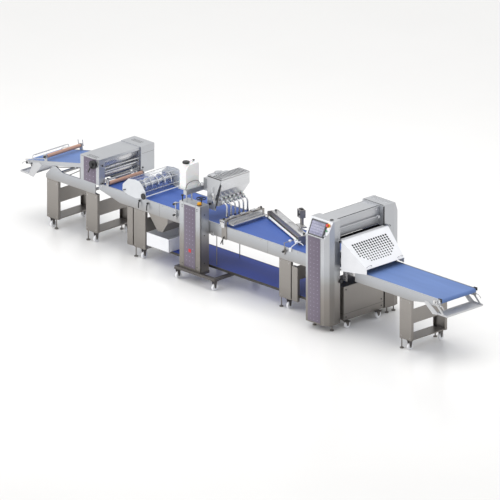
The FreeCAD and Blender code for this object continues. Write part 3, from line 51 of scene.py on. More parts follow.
# ------------------------------------------------------------------ materials
class Shader:
    """A Principled material whose colour, roughness and bump come from noise in CAD space."""

    def __init__(self, name, metallic=0.0, roughness=0.4, **sockets):
        self.material = bpy.data.materials.new(name)
        self.material.use_nodes = True
        self.tree = self.material.node_tree
        self.surface = self.tree.nodes["Principled BSDF"]
        self.surface.inputs["Metallic"].default_value = metallic
        self.surface.inputs["Roughness"].default_value = roughness
        for socket, value in sockets.items():
            self.surface.inputs[socket.replace("_", " ")].default_value = value
        self.place = self.tree.nodes.new("ShaderNodeTexCoord").outputs["Object"]

    def node(self, kind, **values):
        made = self.tree.nodes.new(kind)
        for key, value in values.items():
            if hasattr(made, key):
                setattr(made, key, value)
            else:
                made.inputs[key.replace("_", " ")].default_value = value
        return made

    def join(self, source, target):
        self.tree.links.new(source, target)

    def stretched(self, scale):
        mapping = self.node("ShaderNodeMapping")
        mapping.inputs["Scale"].default_value = scale
        self.join(self.place, mapping.inputs["Vector"])
        return mapping.outputs["Vector"]

    def noise(self, scale, stretch=(1, 1, 1), detail=3.0):
        made = self.node("ShaderNodeTexNoise", Scale=scale, Detail=detail)
        self.join(self.stretched(stretch), made.inputs["Vector"])
        return made.outputs["Fac"]

    def ramp(self, factor, stops):
        made = self.node("ShaderNodeValToRGB")
        ramp = made.color_ramp
        while len(ramp.elements) < len(stops):
            ramp.elements.new(0.5)
        for element, (position, color) in zip(ramp.elements, stops):
            element.position = position
            element.color = (*color, 1)
        self.join(factor, made.inputs["Fac"])
        return made.outputs["Color"]

    def mixed(self, factor, first, second, kind="MIX", amount=1.0):
        made = self.node("ShaderNodeMix", data_type="RGBA", blend_type=kind)
        made.inputs["Factor"].default_value = amount
        if factor is not None:
            self.join(factor, made.inputs["Factor"])
        for socket, value in zip((made.inputs[6], made.inputs[7]), (first, second)):
            if hasattr(value, "is_output"):
                self.join(value, socket)
            else:
                socket.default_value = (*value, 1)
        return made.outputs[2]

    def span(self, factor, low, high):
        made = self.node("ShaderNodeMapRange")
        made.inputs["To Min"].default_value = low
        made.inputs["To Max"].default_value = high
        self.join(factor, made.inputs["Value"])
        return made.outputs["Result"]

    def color(self, source):
        self.join(source, self.surface.inputs["Base Color"])

    def rough(self, factor, low, high):
        self.join(self.span(factor, low, high), self.surface.inputs["Roughness"])

    def bump(self, height, strength, distance):
        made = self.node("ShaderNodeBump", Strength=strength, Distance=distance)
        self.join(height, made.inputs["Height"])
        self.join(made.outputs["Normal"], self.surface.inputs["Normal"])


def steel(name, stops, roughness=0.34, metallic=0.75):
    """Brushed stainless sheet, with painted shade by height: warm and darker near the floor, light
    and cool above.
    """
    made = Shader(name, metallic=metallic, roughness=roughness)
    split = made.node("ShaderNodeSeparateXYZ")
    made.join(made.place, split.inputs["Vector"])
    height = made.node("ShaderNodeMapRange")
    height.inputs["From Max"].default_value = 1.6
    made.join(split.outputs["Z"], height.inputs["Value"])
    base = made.ramp(height.outputs["Result"], stops)
    grain = made.noise(1.0, (6, 900, 900), 4.0)
    clouds = made.noise(2.2, (1, 1, 1), 2.0)
    streaked = made.mixed(None, base, made.ramp(grain, [(0.3, (0.86,) * 3), (0.7, (1.08,) * 3)]),
                          "MULTIPLY", 0.55)
    made.color(made.mixed(None, streaked, made.ramp(clouds, [(0.35, (0.975,) * 3),
                                                             (0.65, (1.02,) * 3)]),
                          "MULTIPLY", 0.8))
    made.rough(grain, roughness - 0.06, roughness + 0.10)
    made.bump(grain, 0.12, 0.0004)
    return made.material


def moulded(name, color, roughness=0.4, grain=700, **sockets):
    """Moulded plastic or paint: a faint orange peel and slight unevenness of tone."""
    made = Shader(name, roughness=roughness, **sockets)
    cloud = made.noise(9, detail=2.0)
    darker = tuple(c * 0.97 for c in color)
    lighter = tuple(min(1.0, c * 1.02) for c in color)
    made.color(made.ramp(cloud, [(0.3, darker), (0.7, lighter)]))
    peel = made.noise(grain, detail=1.0)
    made.rough(peel, roughness * 0.85, roughness * 1.15)
    made.bump(peel, 0.10, 0.0003)
    return made.material


def belting(name, color, shade):
    """Coated conveyor belting: a fine cross weave under a matt coating, with blotches of dusty wear
    and painted shade.
    """
    made = Shader(name, roughness=0.5, Specular_IOR_Level=0.22)
    across = made.node("ShaderNodeTexWave", wave_type="BANDS", bands_direction="X", Scale=120.0)
    along = made.node("ShaderNodeTexWave", wave_type="BANDS", bands_direction="Y", Scale=120.0)
    for wave in (across, along):
        made.join(made.place, wave.inputs["Vector"])
    weave = made.node("ShaderNodeMath", operation="MULTIPLY")
    made.join(across.outputs["Fac"], weave.inputs[0])
    made.join(along.outputs["Fac"], weave.inputs[1])
    wear_and_shade = made.noise(3.0, (0.35, 2.5, 1), 5.0)
    # random noise mixes the belt's colour with its painted-shade colour: partly dusty wear, partly
    # painted shade
    tone = made.ramp(wear_and_shade, [(0.30, shade), (0.72, color)])
    made.color(made.mixed(None, tone, made.ramp(weave.outputs["Value"], [
        (0.0, (0.94,) * 3), (1.0, (1.06,) * 3)]), "MULTIPLY", 0.5))
    made.rough(wear_and_shade, 0.42, 0.60)
    made.bump(weave.outputs["Value"], 0.25, 0.0003)
    return made.material


def chromed(name):
    made = Shader(name, metallic=1.0, roughness=0.26)
    fine = made.noise(40, (1, 12, 1), 2.0)
    made.color(made.ramp(fine, [(0.3, (0.66, 0.67, 0.69)), (0.7, (0.80, 0.81, 0.83))]))
    made.rough(fine, 0.22, 0.32)
    return made.material


def beech(name):
    made = Shader(name, roughness=0.55)
    rings = made.node("ShaderNodeTexWave", wave_type="BANDS", bands_direction="Z", Scale=22.0,
                      Distortion=5.0, Detail=3.0)
    made.join(made.stretched((1, 0.12, 1)), rings.inputs["Vector"])
    made.color(made.ramp(rings.outputs["Fac"], [
        (0.0, (0.36, 0.20, 0.15)), (0.5, (0.46, 0.27, 0.20)), (1.0, (0.52, 0.32, 0.24))]))
    pores = made.noise(300, (1, 0.06, 1), 2.0)
    made.rough(pores, 0.45, 0.65)
    made.bump(pores, 0.2, 0.0003)
    return made.material


def clear(name):
    made = Shader(name, roughness=0.06, Transmission_Weight=0.95, IOR=1.02, Alpha=0.26)
    haze = made.noise(14, detail=2.0)
    made.color(made.ramp(haze, [(0.3, (0.86, 0.90, 0.95)), (0.7, (0.96, 0.98, 1.0))]))
    made.rough(haze, 0.04, 0.10)
    return made.material


def glowing_display(name):
    made = Shader(name, roughness=0.18)
    tiles = made.node("ShaderNodeTexBrick", Scale=16.0, Mortar_Size=0.03, offset=0.0)
    tiles.inputs["Color1"].default_value = (0.24, 0.24, 0.33, 1)
    tiles.inputs["Color2"].default_value = (0.30, 0.30, 0.40, 1)
    tiles.inputs["Mortar"].default_value = (0.16, 0.16, 0.24, 1)
    made.join(made.stretched((1, 1, 1.2)), tiles.inputs["Vector"])
    fade = made.noise(3.0, detail=1.0)
    shine = made.mixed(None, tiles.outputs["Color"], made.ramp(fade, [
        (0.3, (0.8,) * 3), (0.7, (1.15,) * 3)]), "MULTIPLY", 1.0)
    made.color(shine)
    made.join(shine, made.surface.inputs["Emission Color"])
    made.surface.inputs["Emission Strength"].default_value = 0.35
    return made.material


# Height ramps of painted shade for steel(): each runs from the floor to 1.6 m, darker and warmer
# low and lighter and cooler above; the ramps of the other steels in M paint the same shade, darker
# towards the floor.
UPPER_SHADE_RAMP = [(0.0, (0.20, 0.185, 0.17)), (0.28, (0.27, 0.25, 0.23)), (0.42, (0.34, 0.33, 0.32)),
         (0.52, (0.46, 0.475, 0.50)), (0.62, (0.53, 0.545, 0.57)), (1.0, (0.53, 0.54, 0.56))]
LOWER_SHADE_RAMP = [(0.0, (0.21, 0.195, 0.18)), (0.20, (0.30, 0.28, 0.26)), (0.45, (0.34, 0.32, 0.30)),
         (1.0, (0.42, 0.40, 0.385))]
M = {
    "steel": steel("brushed_stainless", UPPER_SHADE_RAMP),
    "low_steel": steel("warm_stainless", LOWER_SHADE_RAMP, 0.38),
    "bright": steel("bright_stainless", [(0.0, (0.52, 0.51, 0.50)), (1.0, (0.70, 0.71, 0.73))],
                    0.24, 0.85),
    "dark_steel": steel("shaded_stainless",
                        [(0.0, (0.07, 0.065, 0.06)), (1.0, (0.16, 0.155, 0.15))], 0.45),
    "belt": belting("blue_belting", (0.145, 0.235, 0.50), (0.115, 0.195, 0.43)),
    "mid_belt": belting("table_belting", (0.072, 0.138, 0.42), (0.052, 0.105, 0.35)),
    "low_belt": belting("deep_blue_belting", (0.050, 0.090, 0.42), (0.04, 0.075, 0.35)),
    "base_steel": steel("base_frame_steel", [(0.0, (0.13, 0.12, 0.115)), (1.0, (0.22, 0.21, 0.20))],
                        0.4),
    "pale_steel": steel("satin_tray_steel", [(0.0, (0.56, 0.56, 0.57)), (1.0, (0.64, 0.65, 0.67))],
                        0.42, 0.25),
    "chrome": chromed("chromed_steel"),
    "white": moulded("white_enamel", (0.86, 0.87, 0.90), 0.32),
    "milk": moulded("milky_polyethylene", (0.86, 0.86, 0.86), 0.45, Subsurface_Weight=0.15),
    "black": moulded("black_plastic", (0.018, 0.018, 0.020), 0.42),
    "shadow": moulded("unlit_inside", (0.008, 0.008, 0.009), 0.95, Specular_IOR_Level=0.0),
    "frost": moulded("frosted_guard_plastic", (0.66, 0.68, 0.71), 0.35),
    "red": moulded("red_plastic", (0.62, 0.02, 0.025), 0.30),
    "yellow": moulded("yellow_plastic", (0.85, 0.42, 0.01), 0.35),
    "green": moulded("green_plastic", (0.04, 0.36, 0.12), 0.30),
    "blue": moulded("blue_plastic", (0.06, 0.13, 0.55), 0.35),
    "grey": moulded("pale_grey_plastic", (0.62, 0.62, 0.63), 0.45),
    "purple": moulded("purple_panel", (0.150, 0.122, 0.172), 0.38, Coat_Weight=0.2),
    "dot": moulded("pale_dots", (0.30, 0.26, 0.345), 0.4),
    "wood": beech("beech_wood"),
    "clear": clear("clear_guard_panel"),
    "display": glowing_display("screen_display"),
    "bezel": moulded("screen_bezel", (0.022, 0.022, 0.030), 0.22, Coat_Weight=0.6),
}

SLOT_LOOK = {"stainless": "steel", "blue_belt": "belt", "dark_blue_belt": "low_belt",
             "chromed_steel": "chrome", "white_paint": "white", "white_plastic": "milk",
             "beech": "wood", "black_plastic": "black", "dark_screen": "bezel",
             "red_plastic": "red", "yellow_plastic": "yellow", "green_plastic": "green",
             "clear_plastic": "clear", "blue_plastic": "blue", "grey_plastic": "grey"}
NODE_LOOK = {"table_stands": "low_steel", "infeed_stand": "low_steel", "base_cabinet": "low_steel",
             "levelling_feet": "low_steel", "trolley_base": "base_steel",
             "caster_forks": "base_steel", "return_belt_frame": "dark_steel",
             "hopper_grid": "bright", "catch_trays": "pale_steel",
             "dosing_nozzles": "bright", "guillotine_comb": "bright", "slider_beds": "bright",
             "scrap_chute": "low_steel", "table_belt": "mid_belt",
             "hopper": "bright", "front_caster_wheels": "white", "back_caster_wheels": "white",
             "trolley_front_wheels": "white", "trolley_back_wheels": "white",
             "guillotine_frame": "low_steel", "angled_roller_housing": "low_steel",
             "rotary_cutter": "chrome", "cutter_guard_frame": "frost"}


def dress_cad():
    """Give each CAD node its material, by its slot unless NODE_LOOK names another."""
    slots = {s["node"]: s["material_slot"] for s in frame["record"]["subparts"]}
    for name, obj in nodes.items():
        look = NODE_LOOK.get(name) or SLOT_LOOK[slots[name]]
        obj.data.materials.clear()
        obj.data.materials.append(M[look])


# ------------------------------------------------------------------ shapes
class Piece:
    """One visible object, gathered from rounded blocks, turned profiles and bent tubes."""

    def __init__(self, name, look, slot, body="line_frame"):
        self.name = name
        self.look = look
        self.slot = slot
        self.body = body
        self.bm = bmesh.new()

    def take(self, part, matrix):
        if matrix is not None:
            part.transform(matrix)
        mesh = bpy.data.meshes.new("part")
        part.to_mesh(mesh)
        part.free()
        self.bm.from_mesh(mesh)
        bpy.data.meshes.remove(mesh)
        return self

    def block(self, low, high, round_by=2.0, matrix=None):
        """A box with rounded edges between two corners."""
        part = bmesh.new()
        bmesh.ops.create_cube(part, size=1.0)
        low, high = Vector(low), Vector(high)
        size = high - low
        for vert in part.verts:
            vert.co = Vector(low[i] + (vert.co[i] + 0.5) * size[i] for i in range(3))
        offset = min(round_by, 0.3 * min(size))
        bmesh.ops.bevel(part, geom=list(part.edges), offset=offset, segments=2, profile=0.5,
                        affect="EDGES")
        return self.take(part, matrix)

    def turned(self, profile, matrix, sides=28):
        """A profile of (radius, height) points turned about the matrix's Z axis."""
        part = bmesh.new()
        rings = []
        for radius, height in profile:
            if radius < 1e-6:
                rings.append([part.verts.new((0, 0, height))])
                continue
            angles = [2 * math.pi * i / sides for i in range(sides)]
            rings.append([part.verts.new((radius * math.cos(a), radius * math.sin(a), height))
                          for a in angles])
        for first, second in zip(rings, rings[1:]):
            for i in range(sides):
                j = (i + 1) % sides
                corners = [first[i % len(first)], first[j % len(first)],
                           second[j % len(second)], second[i % len(second)]]
                unique = list(dict.fromkeys(corners))
                if len(unique) > 2:
                    part.faces.new(unique)
        return self.take(part, matrix)

    def tube(self, points, radius, closed=False, smooth=False):
        """A round bar along points, with its corners bent when smooth is set."""
        curve = bpy.data.curves.new("path", "CURVE")
        curve.dimensions = "3D"
        curve.bevel_depth = radius
        curve.bevel_resolution = 3
        curve.use_fill_caps = True
        spline = curve.splines.new("NURBS" if smooth else "POLY")
        spline.points.add(len(points) - 1)
        for point, at in zip(spline.points, points):
            point.co = (*at, 1)
        spline.use_cyclic_u = closed
        if smooth:
            spline.order_u = 3
            spline.use_endpoint_u = not closed
            spline.resolution_u = 6
        holder = bpy.data.objects.new("path", curve)
        bpy.context.scene.collection.objects.link(holder)
        bpy.context.view_layer.update()
        mesh = bpy.data.meshes.new_from_object(holder)
        part = bmesh.new()
        part.from_mesh(mesh)
        bpy.data.objects.remove(holder)
        bpy.data.curves.remove(curve)
        bpy.data.meshes.remove(mesh)
        return self.take(part, None)

    def sheet(self, outline, thick, matrix):
        """A flat plate: an outline in the matrix's XY plane, thickened along its Z."""
        part = bmesh.new()
        face = part.faces.new([part.verts.new((x, y, 0)) for x, y in outline])
        made = bmesh.ops.extrude_face_region(part, geom=[face])
        moved = [g for g in made["geom"] if isinstance(g, bmesh.types.BMVert)]
        bmesh.ops.translate(part, verts=moved, vec=(0, 0, thick))
        return self.take(part, matrix)

    def done(self):
        bmesh.ops.recalc_face_normals(self.bm, faces=self.bm.faces)
        bmesh.ops.translate(self.bm, vec=(0, LINE_Y, 0), verts=self.bm.verts)
        bmesh.ops.scale(self.bm, vec=(MM, MM, MM), verts=self.bm.verts)
        mesh = bpy.data.meshes.new(self.name)
        self.bm.to_mesh(mesh)
        self.bm.free()
        for polygon in mesh.polygons:
            polygon.use_smooth = True
        mesh.set_sharp_from_angle(angle=math.radians(40))
        mesh.materials.append(M[self.look])
        obj = bpy.data.objects.new(self.name, mesh)
        bpy.context.scene.collection.objects.link(obj)
        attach(obj, self.body)
        return obj


def facing(origin, out, up=(0, 0, 1)):
    """Local X to the right, Y up and Z out of a surface at origin."""
    z = Vector(out).normalized()
    x = Vector(up).cross(z).normalized()
    y = z.cross(x)
    matrix = Matrix((x, y, z)).transposed().to_4x4()
    matrix.translation = Vector(origin)
    return matrix


def about(origin, axis):
    """Local Z along axis, from origin."""
    axis = Vector(axis).normalized()
    helper = (1, 0, 0) if abs(axis.z) > 0.9 else (0, 0, 1)
    return facing(origin, axis, helper)


def knob(piece, at, axis, radius, height):
    """A round grip with a softened rim and a waist under it."""
    piece.turned([(radius * 0.45, 0), (radius * 0.45, height * 0.25),
                  (radius * 0.95, height * 0.38), (radius, height * 0.5),
                  (radius, height * 0.85), (radius * 0.9, height), (0, height * 1.02)],
                 about(at, axis))


def disc(piece, at, axis, radius, height, dish=0.0):
    piece.turned([(0, 0), (radius, 0), (radius, height * 0.8), (radius * 0.94, height),
                  (0, height - dish)], about(at, axis))


# ------------------------------------------------------------------ detail
# main planes of the line, measured from the belts' centre line and the floor
SIDES = (-1, 1)
RAIL_Y = 345
RAIL_TOP = 888
STAND_Y = 342.6
STAND_LEFTS = (3255, 923, -1922, -2867, -3643)
INFEED_STAND_TOP = 736
STAND_TOP = 708
COLUMN_FACE = -650
COLUMN_TOP = 1576
BETWEEN_COLUMNS = (-386, 425)
HEAD_TOP = 1550
CABINET_FACE_X = 2165.2
HOOD_TOP = Vector((2232, 0, 1300))
HOOD_FOOT = Vector((2636, 0, 971))
TROLLEY_FACE = -520
TROLLEY_SIDE_X = -438
TROLLEY_TOP = 1131
CUTTER_X, CUTTER_Z = -1880, 1000
PRESS_X, PRESS_Y = 103, 370
PRESS_LID = 1009

CONSOLE_LOW = 1340
CONTROL_X = 2108
STOP_UP, START_UP, KEY_UP = 198, 121, 48
SCREEN_LEFT, SCREEN_UP = 1797, 8
SCREEN_WIDE, SCREEN_HIGH = 286, 222
BEZEL = 14
CONSOLE_TILT = math.radians(23.94)
CONSOLE_OUT = Vector((0, -math.cos(CONSOLE_TILT), math.sin(CONSOLE_TILT)))
CONSOLE_UP = Vector((0, math.sin(CONSOLE_TILT), math.cos(CONSOLE_TILT)))


def on_console(x, up, out=0.0):
    origin = Vector((x, COLUMN_FACE, CONSOLE_LOW)) + CONSOLE_UP * up + CONSOLE_OUT * out
    return facing(origin, CONSOLE_OUT, CONSOLE_UP)


def trim_panel(name, x_low, x_high, y, z_low, z_high, body, holes=()):
    """A purple trim panel on an operator-side face, with three columns of pale dots."""
    panel = Piece(name, "purple", "black_plastic", body)
    panel.block((x_low, y - 1.6, z_low), (x_high, y + 0.5, z_high), 1.0)
    panel.done()
    dots = Piece(name + "_dots", "dot", "black_plastic", body)
    width = x_high - x_low
    pitch = 62
    for row in range(int((z_high - z_low) / pitch)):
        z = z_low + 35 + row * pitch
        for share in (0.22, 0.5, 0.78):
            x = x_low + width * share
            if any(abs(x - hx) < hr and abs(z - hz) < hr for hx, hz, hr in holes):
                continue
            disc(dots, (x, y - 1.5, z), (0, -1, 0), 7, 0.7)
    dots.done()


def build_console():
    trim_panel("column_panel", 1792, 2030, COLUMN_FACE, 108, 1330, "line_frame")
    display = Piece("screen_display", "display", "dark_screen")
    display.block((20, 20, 0), (SCREEN_WIDE - 20, SCREEN_HIGH - 20, 0.8), 0.3,
                  on_console(SCREEN_LEFT, SCREEN_UP, 16.1))
    display.done()
    frame_bar = Piece("screen_frame", "bezel", "dark_screen")
    right, upper = SCREEN_WIDE - BEZEL, SCREEN_HIGH - BEZEL
    for low, high in (((0, 0, 0), (SCREEN_WIDE, BEZEL, 3)),
                      ((0, upper, 0), (SCREEN_WIDE, SCREEN_HIGH, 3)),
                      ((0, BEZEL, 0), (BEZEL, upper, 3)),
                      ((right, BEZEL, 0), (SCREEN_WIDE, upper, 3))):
        frame_bar.block(low, high, 1.2, on_console(SCREEN_LEFT, SCREEN_UP, 15.0))
    frame_bar.done()
    collar = Piece("stop_collar", "yellow", "yellow_plastic")
    collar.turned([(14, 0), (30, 0), (30, 4), (26, 7), (14, 7)], on_console(CONTROL_X, STOP_UP))
    collar.done()
    rings = Piece("control_rings", "bright", "stainless")
    for up, radius in ((START_UP, 15), (KEY_UP, 14)):
        rings.turned([(11.4, 0), (radius, 0), (radius, 2), (11.4, 3)], on_console(CONTROL_X, up))
    disc(rings, on_console(CONTROL_X + 27, 153).translation, CONSOLE_OUT, 11, 6)
    rings.done()
    plug = Piece("column_plug", "black", "black_plastic")
    disc(plug, (2082, -480, COLUMN_TOP), UP, 26, 7)
    disc(plug, (2166, -390, 690), (1, 0, 0), 30, 12)
    plug.done()
    seams = Piece("column_seams", "dark_steel", "stainless")
    seams.block((2036, COLUMN_FACE - 1, 96), (2039, COLUMN_FACE + 0.5, 1336), 0.4)
    seams.block((1756, COLUMN_FACE - 1, 1336), (2104, COLUMN_FACE + 0.6, 1338.5), 0.4)
    seams.done()


def build_back_column():
    ribs = Piece("back_column_ribs", "bright", "stainless")
    for i in range(9):
        x = 1790 + i * 38
        ribs.block((x, 525, COLUMN_TOP - 1), (x + 16, 640, COLUMN_TOP + 5), 2)
    ribs.done()
    # near-black strips of painted shade on the back column, standing for the unlit gaps beside it
    gap = Piece("back_column_painted_gap_shade", "shadow", "black_plastic")
    gap.block((1770, 434, COLUMN_TOP - 1), (2150, 446, COLUMN_TOP + 0.8), 0.5)
    gap.block((2155, 434, 880), (2157, 500, 1560), 0.3)
    gap.block((2156, 434, 100), (2158, 505, 870), 0.3)
    gap.done()


def build_head():
    seams = Piece("head_seams", "shadow", "black_plastic")
    seams.block((1776, -389, HEAD_TOP - 0.5), (1780, 428, HEAD_TOP + 1), 0.5)
    seams.block((2044, -389, HEAD_TOP - 0.5), (2052, 428, HEAD_TOP + 1.4), 0.5)
    seams.done()
    lip = Piece("head_lower_lip", "black", "black_plastic", "head_cover")
    front, back = BETWEEN_COLUMNS
    lip.block((2068, front, 1303), (2079, back, 1309), 1)
    lip.done()
    latch = Piece("head_cover_latches", "bright", "stainless", "head_cover")
    for y in (-340, 380):
        latch.block((2076, y - 18, 1500), (2081, y + 18, 1530), 2)
        disc(latch, (2080, y, 1515), (1, 0, 0), 9, 5)
    latch.done()


def build_hood():
    slope = HOOD_FOOT - HOOD_TOP
    length = slope.length
    down = slope / length
    out = Vector((-down.z, 0, down.x))
    top_x, top_z = HOOD_TOP.x, HOOD_TOP.z
    foot_x, foot_z = HOOD_FOOT.x, HOOD_FOOT.z
    edge = Piece("hood_edge_rolls", "white", "white_paint", "safety_hood")
    edge.tube([(top_x, -447, top_z - 1), (top_x, 447, top_z - 1)], 4)
    edge.tube([(foot_x, -359, foot_z - 2), (foot_x, 359, foot_z - 2)], 4)
    for side in SIDES:
        edge.tube([(top_x, 447 * side, top_z - 1), (foot_x, 359.5 * side, foot_z - 1)], 3)
    edge.done()
    handle = Piece("hood_handle", "bright", "stainless", "safety_hood")
    base = HOOD_TOP + down * (length - 26) + out * 2
    for side in SIDES:
        at = base + Vector((0, 250 * side, 0))
        handle.tube([at, at + out * 30, at + out * 30 + Vector((0, 90 * side, 0)),
                     at + Vector((0, 90 * side, 0))], 5, smooth=True)
    handle.done()
    # a near-black sheet of painted shade under the hood, so its holes show the unlit inside as dark
    screen = Piece("hood_painted_inner_shade", "shadow", "black_plastic", "safety_hood")
    across = facing(HOOD_TOP - out * 22, out, -down)
    screen.sheet([(-425, -20), (-355, -length + 30), (355, -length + 30), (425, -20)], 2, across)
    screen.done()
    pivots = Piece("hood_pivots", "black", "black_plastic")
    for side in SIDES:
        knob(pivots, (top_x, 462 * side, top_z - 2), (0, side, 0), 16, 20)
    pivots.done()


def build_throat():
    """The unlit gap between the head cover and the hood: a black plate of painted shade over the
    rollers, with a pale ledge on its hood side.
    """
    front, back = BETWEEN_COLUMNS
    throat = Piece("throat_painted_shade", "shadow", "black_plastic")
    throat.block((2056, front, 1284), (2166, back, 1288), 1)
    throat.done()
    ledge = Piece("throat_ledge", "pale_steel", "stainless")
    ledge.block((2152, front, 1290), (2225, back, 1296), 1)
    ledge.done()


def build_cabinet():
    seams = Piece("cabinet_seams", "dark_steel", "stainless")
    seams.block((CABINET_FACE_X, -329, 196), (CABINET_FACE_X + 1.8, 424, 200), 0.5)
    seams.block((1806, -334, 196), (2160, -332.6, 200), 0.5)
    seams.done()
    locks = Piece("cabinet_locks", "black", "black_plastic")
    for y, z in ((-290, 545), (385, 545), (-290, 150), (385, 150), (385, 245)):
        disc(locks, (CABINET_FACE_X + 0.3, y, z), (1, 0, 0), 10, 5)
    locks.done()
    inside = Piece("sheeter_inner_drip_plate", "dark_steel", "stainless")
    front, back = BETWEEN_COLUMNS
    inside.block((1806, front, 592), (2150, back, 596), 1)
    inside.done()


def build_infeed():
    seams = Piece("infeed_fixings", "bright", "stainless")
    for side in SIDES:
        for x in range(2460, 3960, 250):
            disc(seams, (x, RAIL_Y * side, RAIL_TOP - 20), (0, side, 0), 8, 4)
        seams.block((3905, RAIL_Y * side - 9, 800), (3985, RAIL_Y * side + 9, RAIL_TOP - 20), 3)
        knob(seams, (3945, 352 * side, 834), (0, side, 0), 17, 22)
        seams.tube([(3960, 352 * side, 812), (4080, 352 * side, 800), (4120, 352 * side, 760)], 6)
    seams.done()
    stops = Piece("infeed_end_levers", "black", "black_plastic")
    for y in (-338, 338):
        stops.block((3996, y - 8, 888), (4040, y + 8, 902), 3)
        stops.block((4026, y - 6, 860), (4062, y + 6, 905), 3)
    stops.done()
    splash = Piece("infeed_splash_plates", "bright", "stainless")
    for side in SIDES:
        splash.block((2240, 338 * side - 2, 800), (2398, 338 * side + 2, 893), 1)
        splash.block((2160, 338 * side - 2, 690), (2238, 338 * side + 2, 893), 1)
        splash.tube([(2250, 350 * side, 900), (2420, 350 * side, 905), (2480, 356 * side, 880)], 6,
                    smooth=True)
    splash.done()


def build_cross_pans():
    """Cross plates that close the first three stands up to the belt above them."""
    pans = Piece("stand_cross_pans", "dark_steel", "stainless")
    for left in STAND_LEFTS[:3]:
        pans.block((left + 190, -322, 700), (left + 194, 322, 840), 1)
    pans.done()


def build_stands():
    bolts = Piece("stand_bolts", "bright", "stainless")
    lines = Piece("stand_fold_lines", "dark_steel", "stainless")
    for left in STAND_LEFTS:
        top = INFEED_STAND_TOP if left == STAND_LEFTS[0] else STAND_TOP
        for x in (left + 30, left + 195):
            for z in (190, top - 40):
                disc(bolts, (x, -STAND_Y, z), (0, -1, 0), 7, 4)
                disc(bolts, (x, STAND_Y, z), (0, 1, 0), 7, 4)
        for side in SIDES:
            y = (STAND_Y - 0.2) * side
            lines.block((left + 3, y - 0.8, top - 10), (left + 222, y + 0.8, top - 7.5), 0.3)
        for y in (-230, -150, 150, 230):
            disc(bolts, (left + 40, y, 165), UP, 8, 5)
    bolts.done()
    lines.done()


def build_table():
    fix = Piece("table_fixings", "bright", "stainless")
    for side in SIDES:
        for x in range(-2080, 1860, 240):
            if -900 < x < -60:
                continue  # the trolley and the guillotine stand here
            disc(fix, (x, RAIL_Y * side, RAIL_TOP - 20), (0, side, 0), 8, 4)
        fix.block((-395, RAIL_Y * side - 12, 700), (-345, RAIL_Y * side + 12, 745), 4)
    fix.done()
    lines = Piece("table_rail_lines", "dark_steel", "stainless")
    for side in SIDES:
        for x in (-1420, -420, 700):
            lines.block((x, RAIL_Y * side - 0.8, 712), (x + 2.5, RAIL_Y * side + 0.8, RAIL_TOP),
                        0.3)
    lines.done()
    brackets = Piece("table_wooden_roller_brackets", "bright", "stainless")
    knobs = Piece("table_wooden_roller_knobs", "black", "black_plastic")
    x = -2445
    for side in SIDES:
        brackets.block((x - 28, 330 * side - 15, 948), (x + 28, 330 * side + 15, 960), 3)
        brackets.tube([(x, 336 * side, 955), (x, 336 * side, 985)], 6)
        knob(knobs, (x, 336 * side, 982), UP, 13, 22)
    brackets.done()
    knobs.done()


def build_plough():
    """The folding plough on its rod clamp, beside the cutter."""
    x, rod_y, rod_z = -1080, -362, 985
    arm = Piece("plough_arm", "bright", "stainless")
    arm.tube([(x, rod_y, 760), (x, rod_y, 1010)], 8)
    arm.tube([(x, -380, rod_z), (x, -120, rod_z)], 7)
    arm.block((x - 24, -384, 800), (x + 24, -345, 850), 4)
    arm.block((x - 20, -384, rod_z - 20), (x + 20, -340, rod_z + 20), 4)
    arm.tube([(x, -150, rod_z), (x, -150, 930), (x - 30, -150, 905)], 6)
    arm.done()
    horn = Piece("plough_horn", "white", "white_paint")
    horn.sheet([(-90, 0), (-40, 70), (40, 85), (95, 30), (60, 12), (0, 22)], 3,
               facing((x, -150, 892), (0, -1, 0)))
    horn.done()
    grips = Piece("plough_knobs", "black", "black_plastic")
    knob(grips, (x, -384, rod_z), (0, -1, 0), 16, 26)
    knob(grips, (x, -384, 825), (0, -1, 0), 16, 26)
    grips.done()


def build_guillotine():
    x, top = -142, 984
    grips = Piece("guillotine_knobs", "black", "black_plastic")
    for across in (-30, 0, 30):
        knob(grips, (x + across, -375, 965), (0, -1, 0), 11, 18)
    for y in (-356, 356):
        knob(grips, (x, y, top), UP, 14, 22)
    for spread in (22, -23):
        grips.tube([(x, -352, 740), (x, -392, 700), (x + spread, -396, 640)], 7, smooth=True)
    grips.done()
    cover = Piece("guillotine_actuators", "bright", "stainless")
    for y in (-200, 0, 200):
        cover.block((x - 18, y - 45, top), (x + 27, y + 45, top + 18), 4)
        cover.tube([(x - 18, y, top + 12), (x - 43, y, top + 12), (x - 46, y + 30, top - 24)], 4,
                   smooth=True)
    cover.block((x - 48, -392, 880), (x + 42, -374, top + 1), 4)
    cover.done()


PRESS_TURN = math.radians(-22.75)


def press_at(along, across, z):
    """A point of the angled unit, from its far end along its housing."""
    return Vector((PRESS_X + along * math.cos(PRESS_TURN) - across * math.sin(PRESS_TURN),
                   PRESS_Y + along * math.sin(PRESS_TURN) + across * math.cos(PRESS_TURN), z))


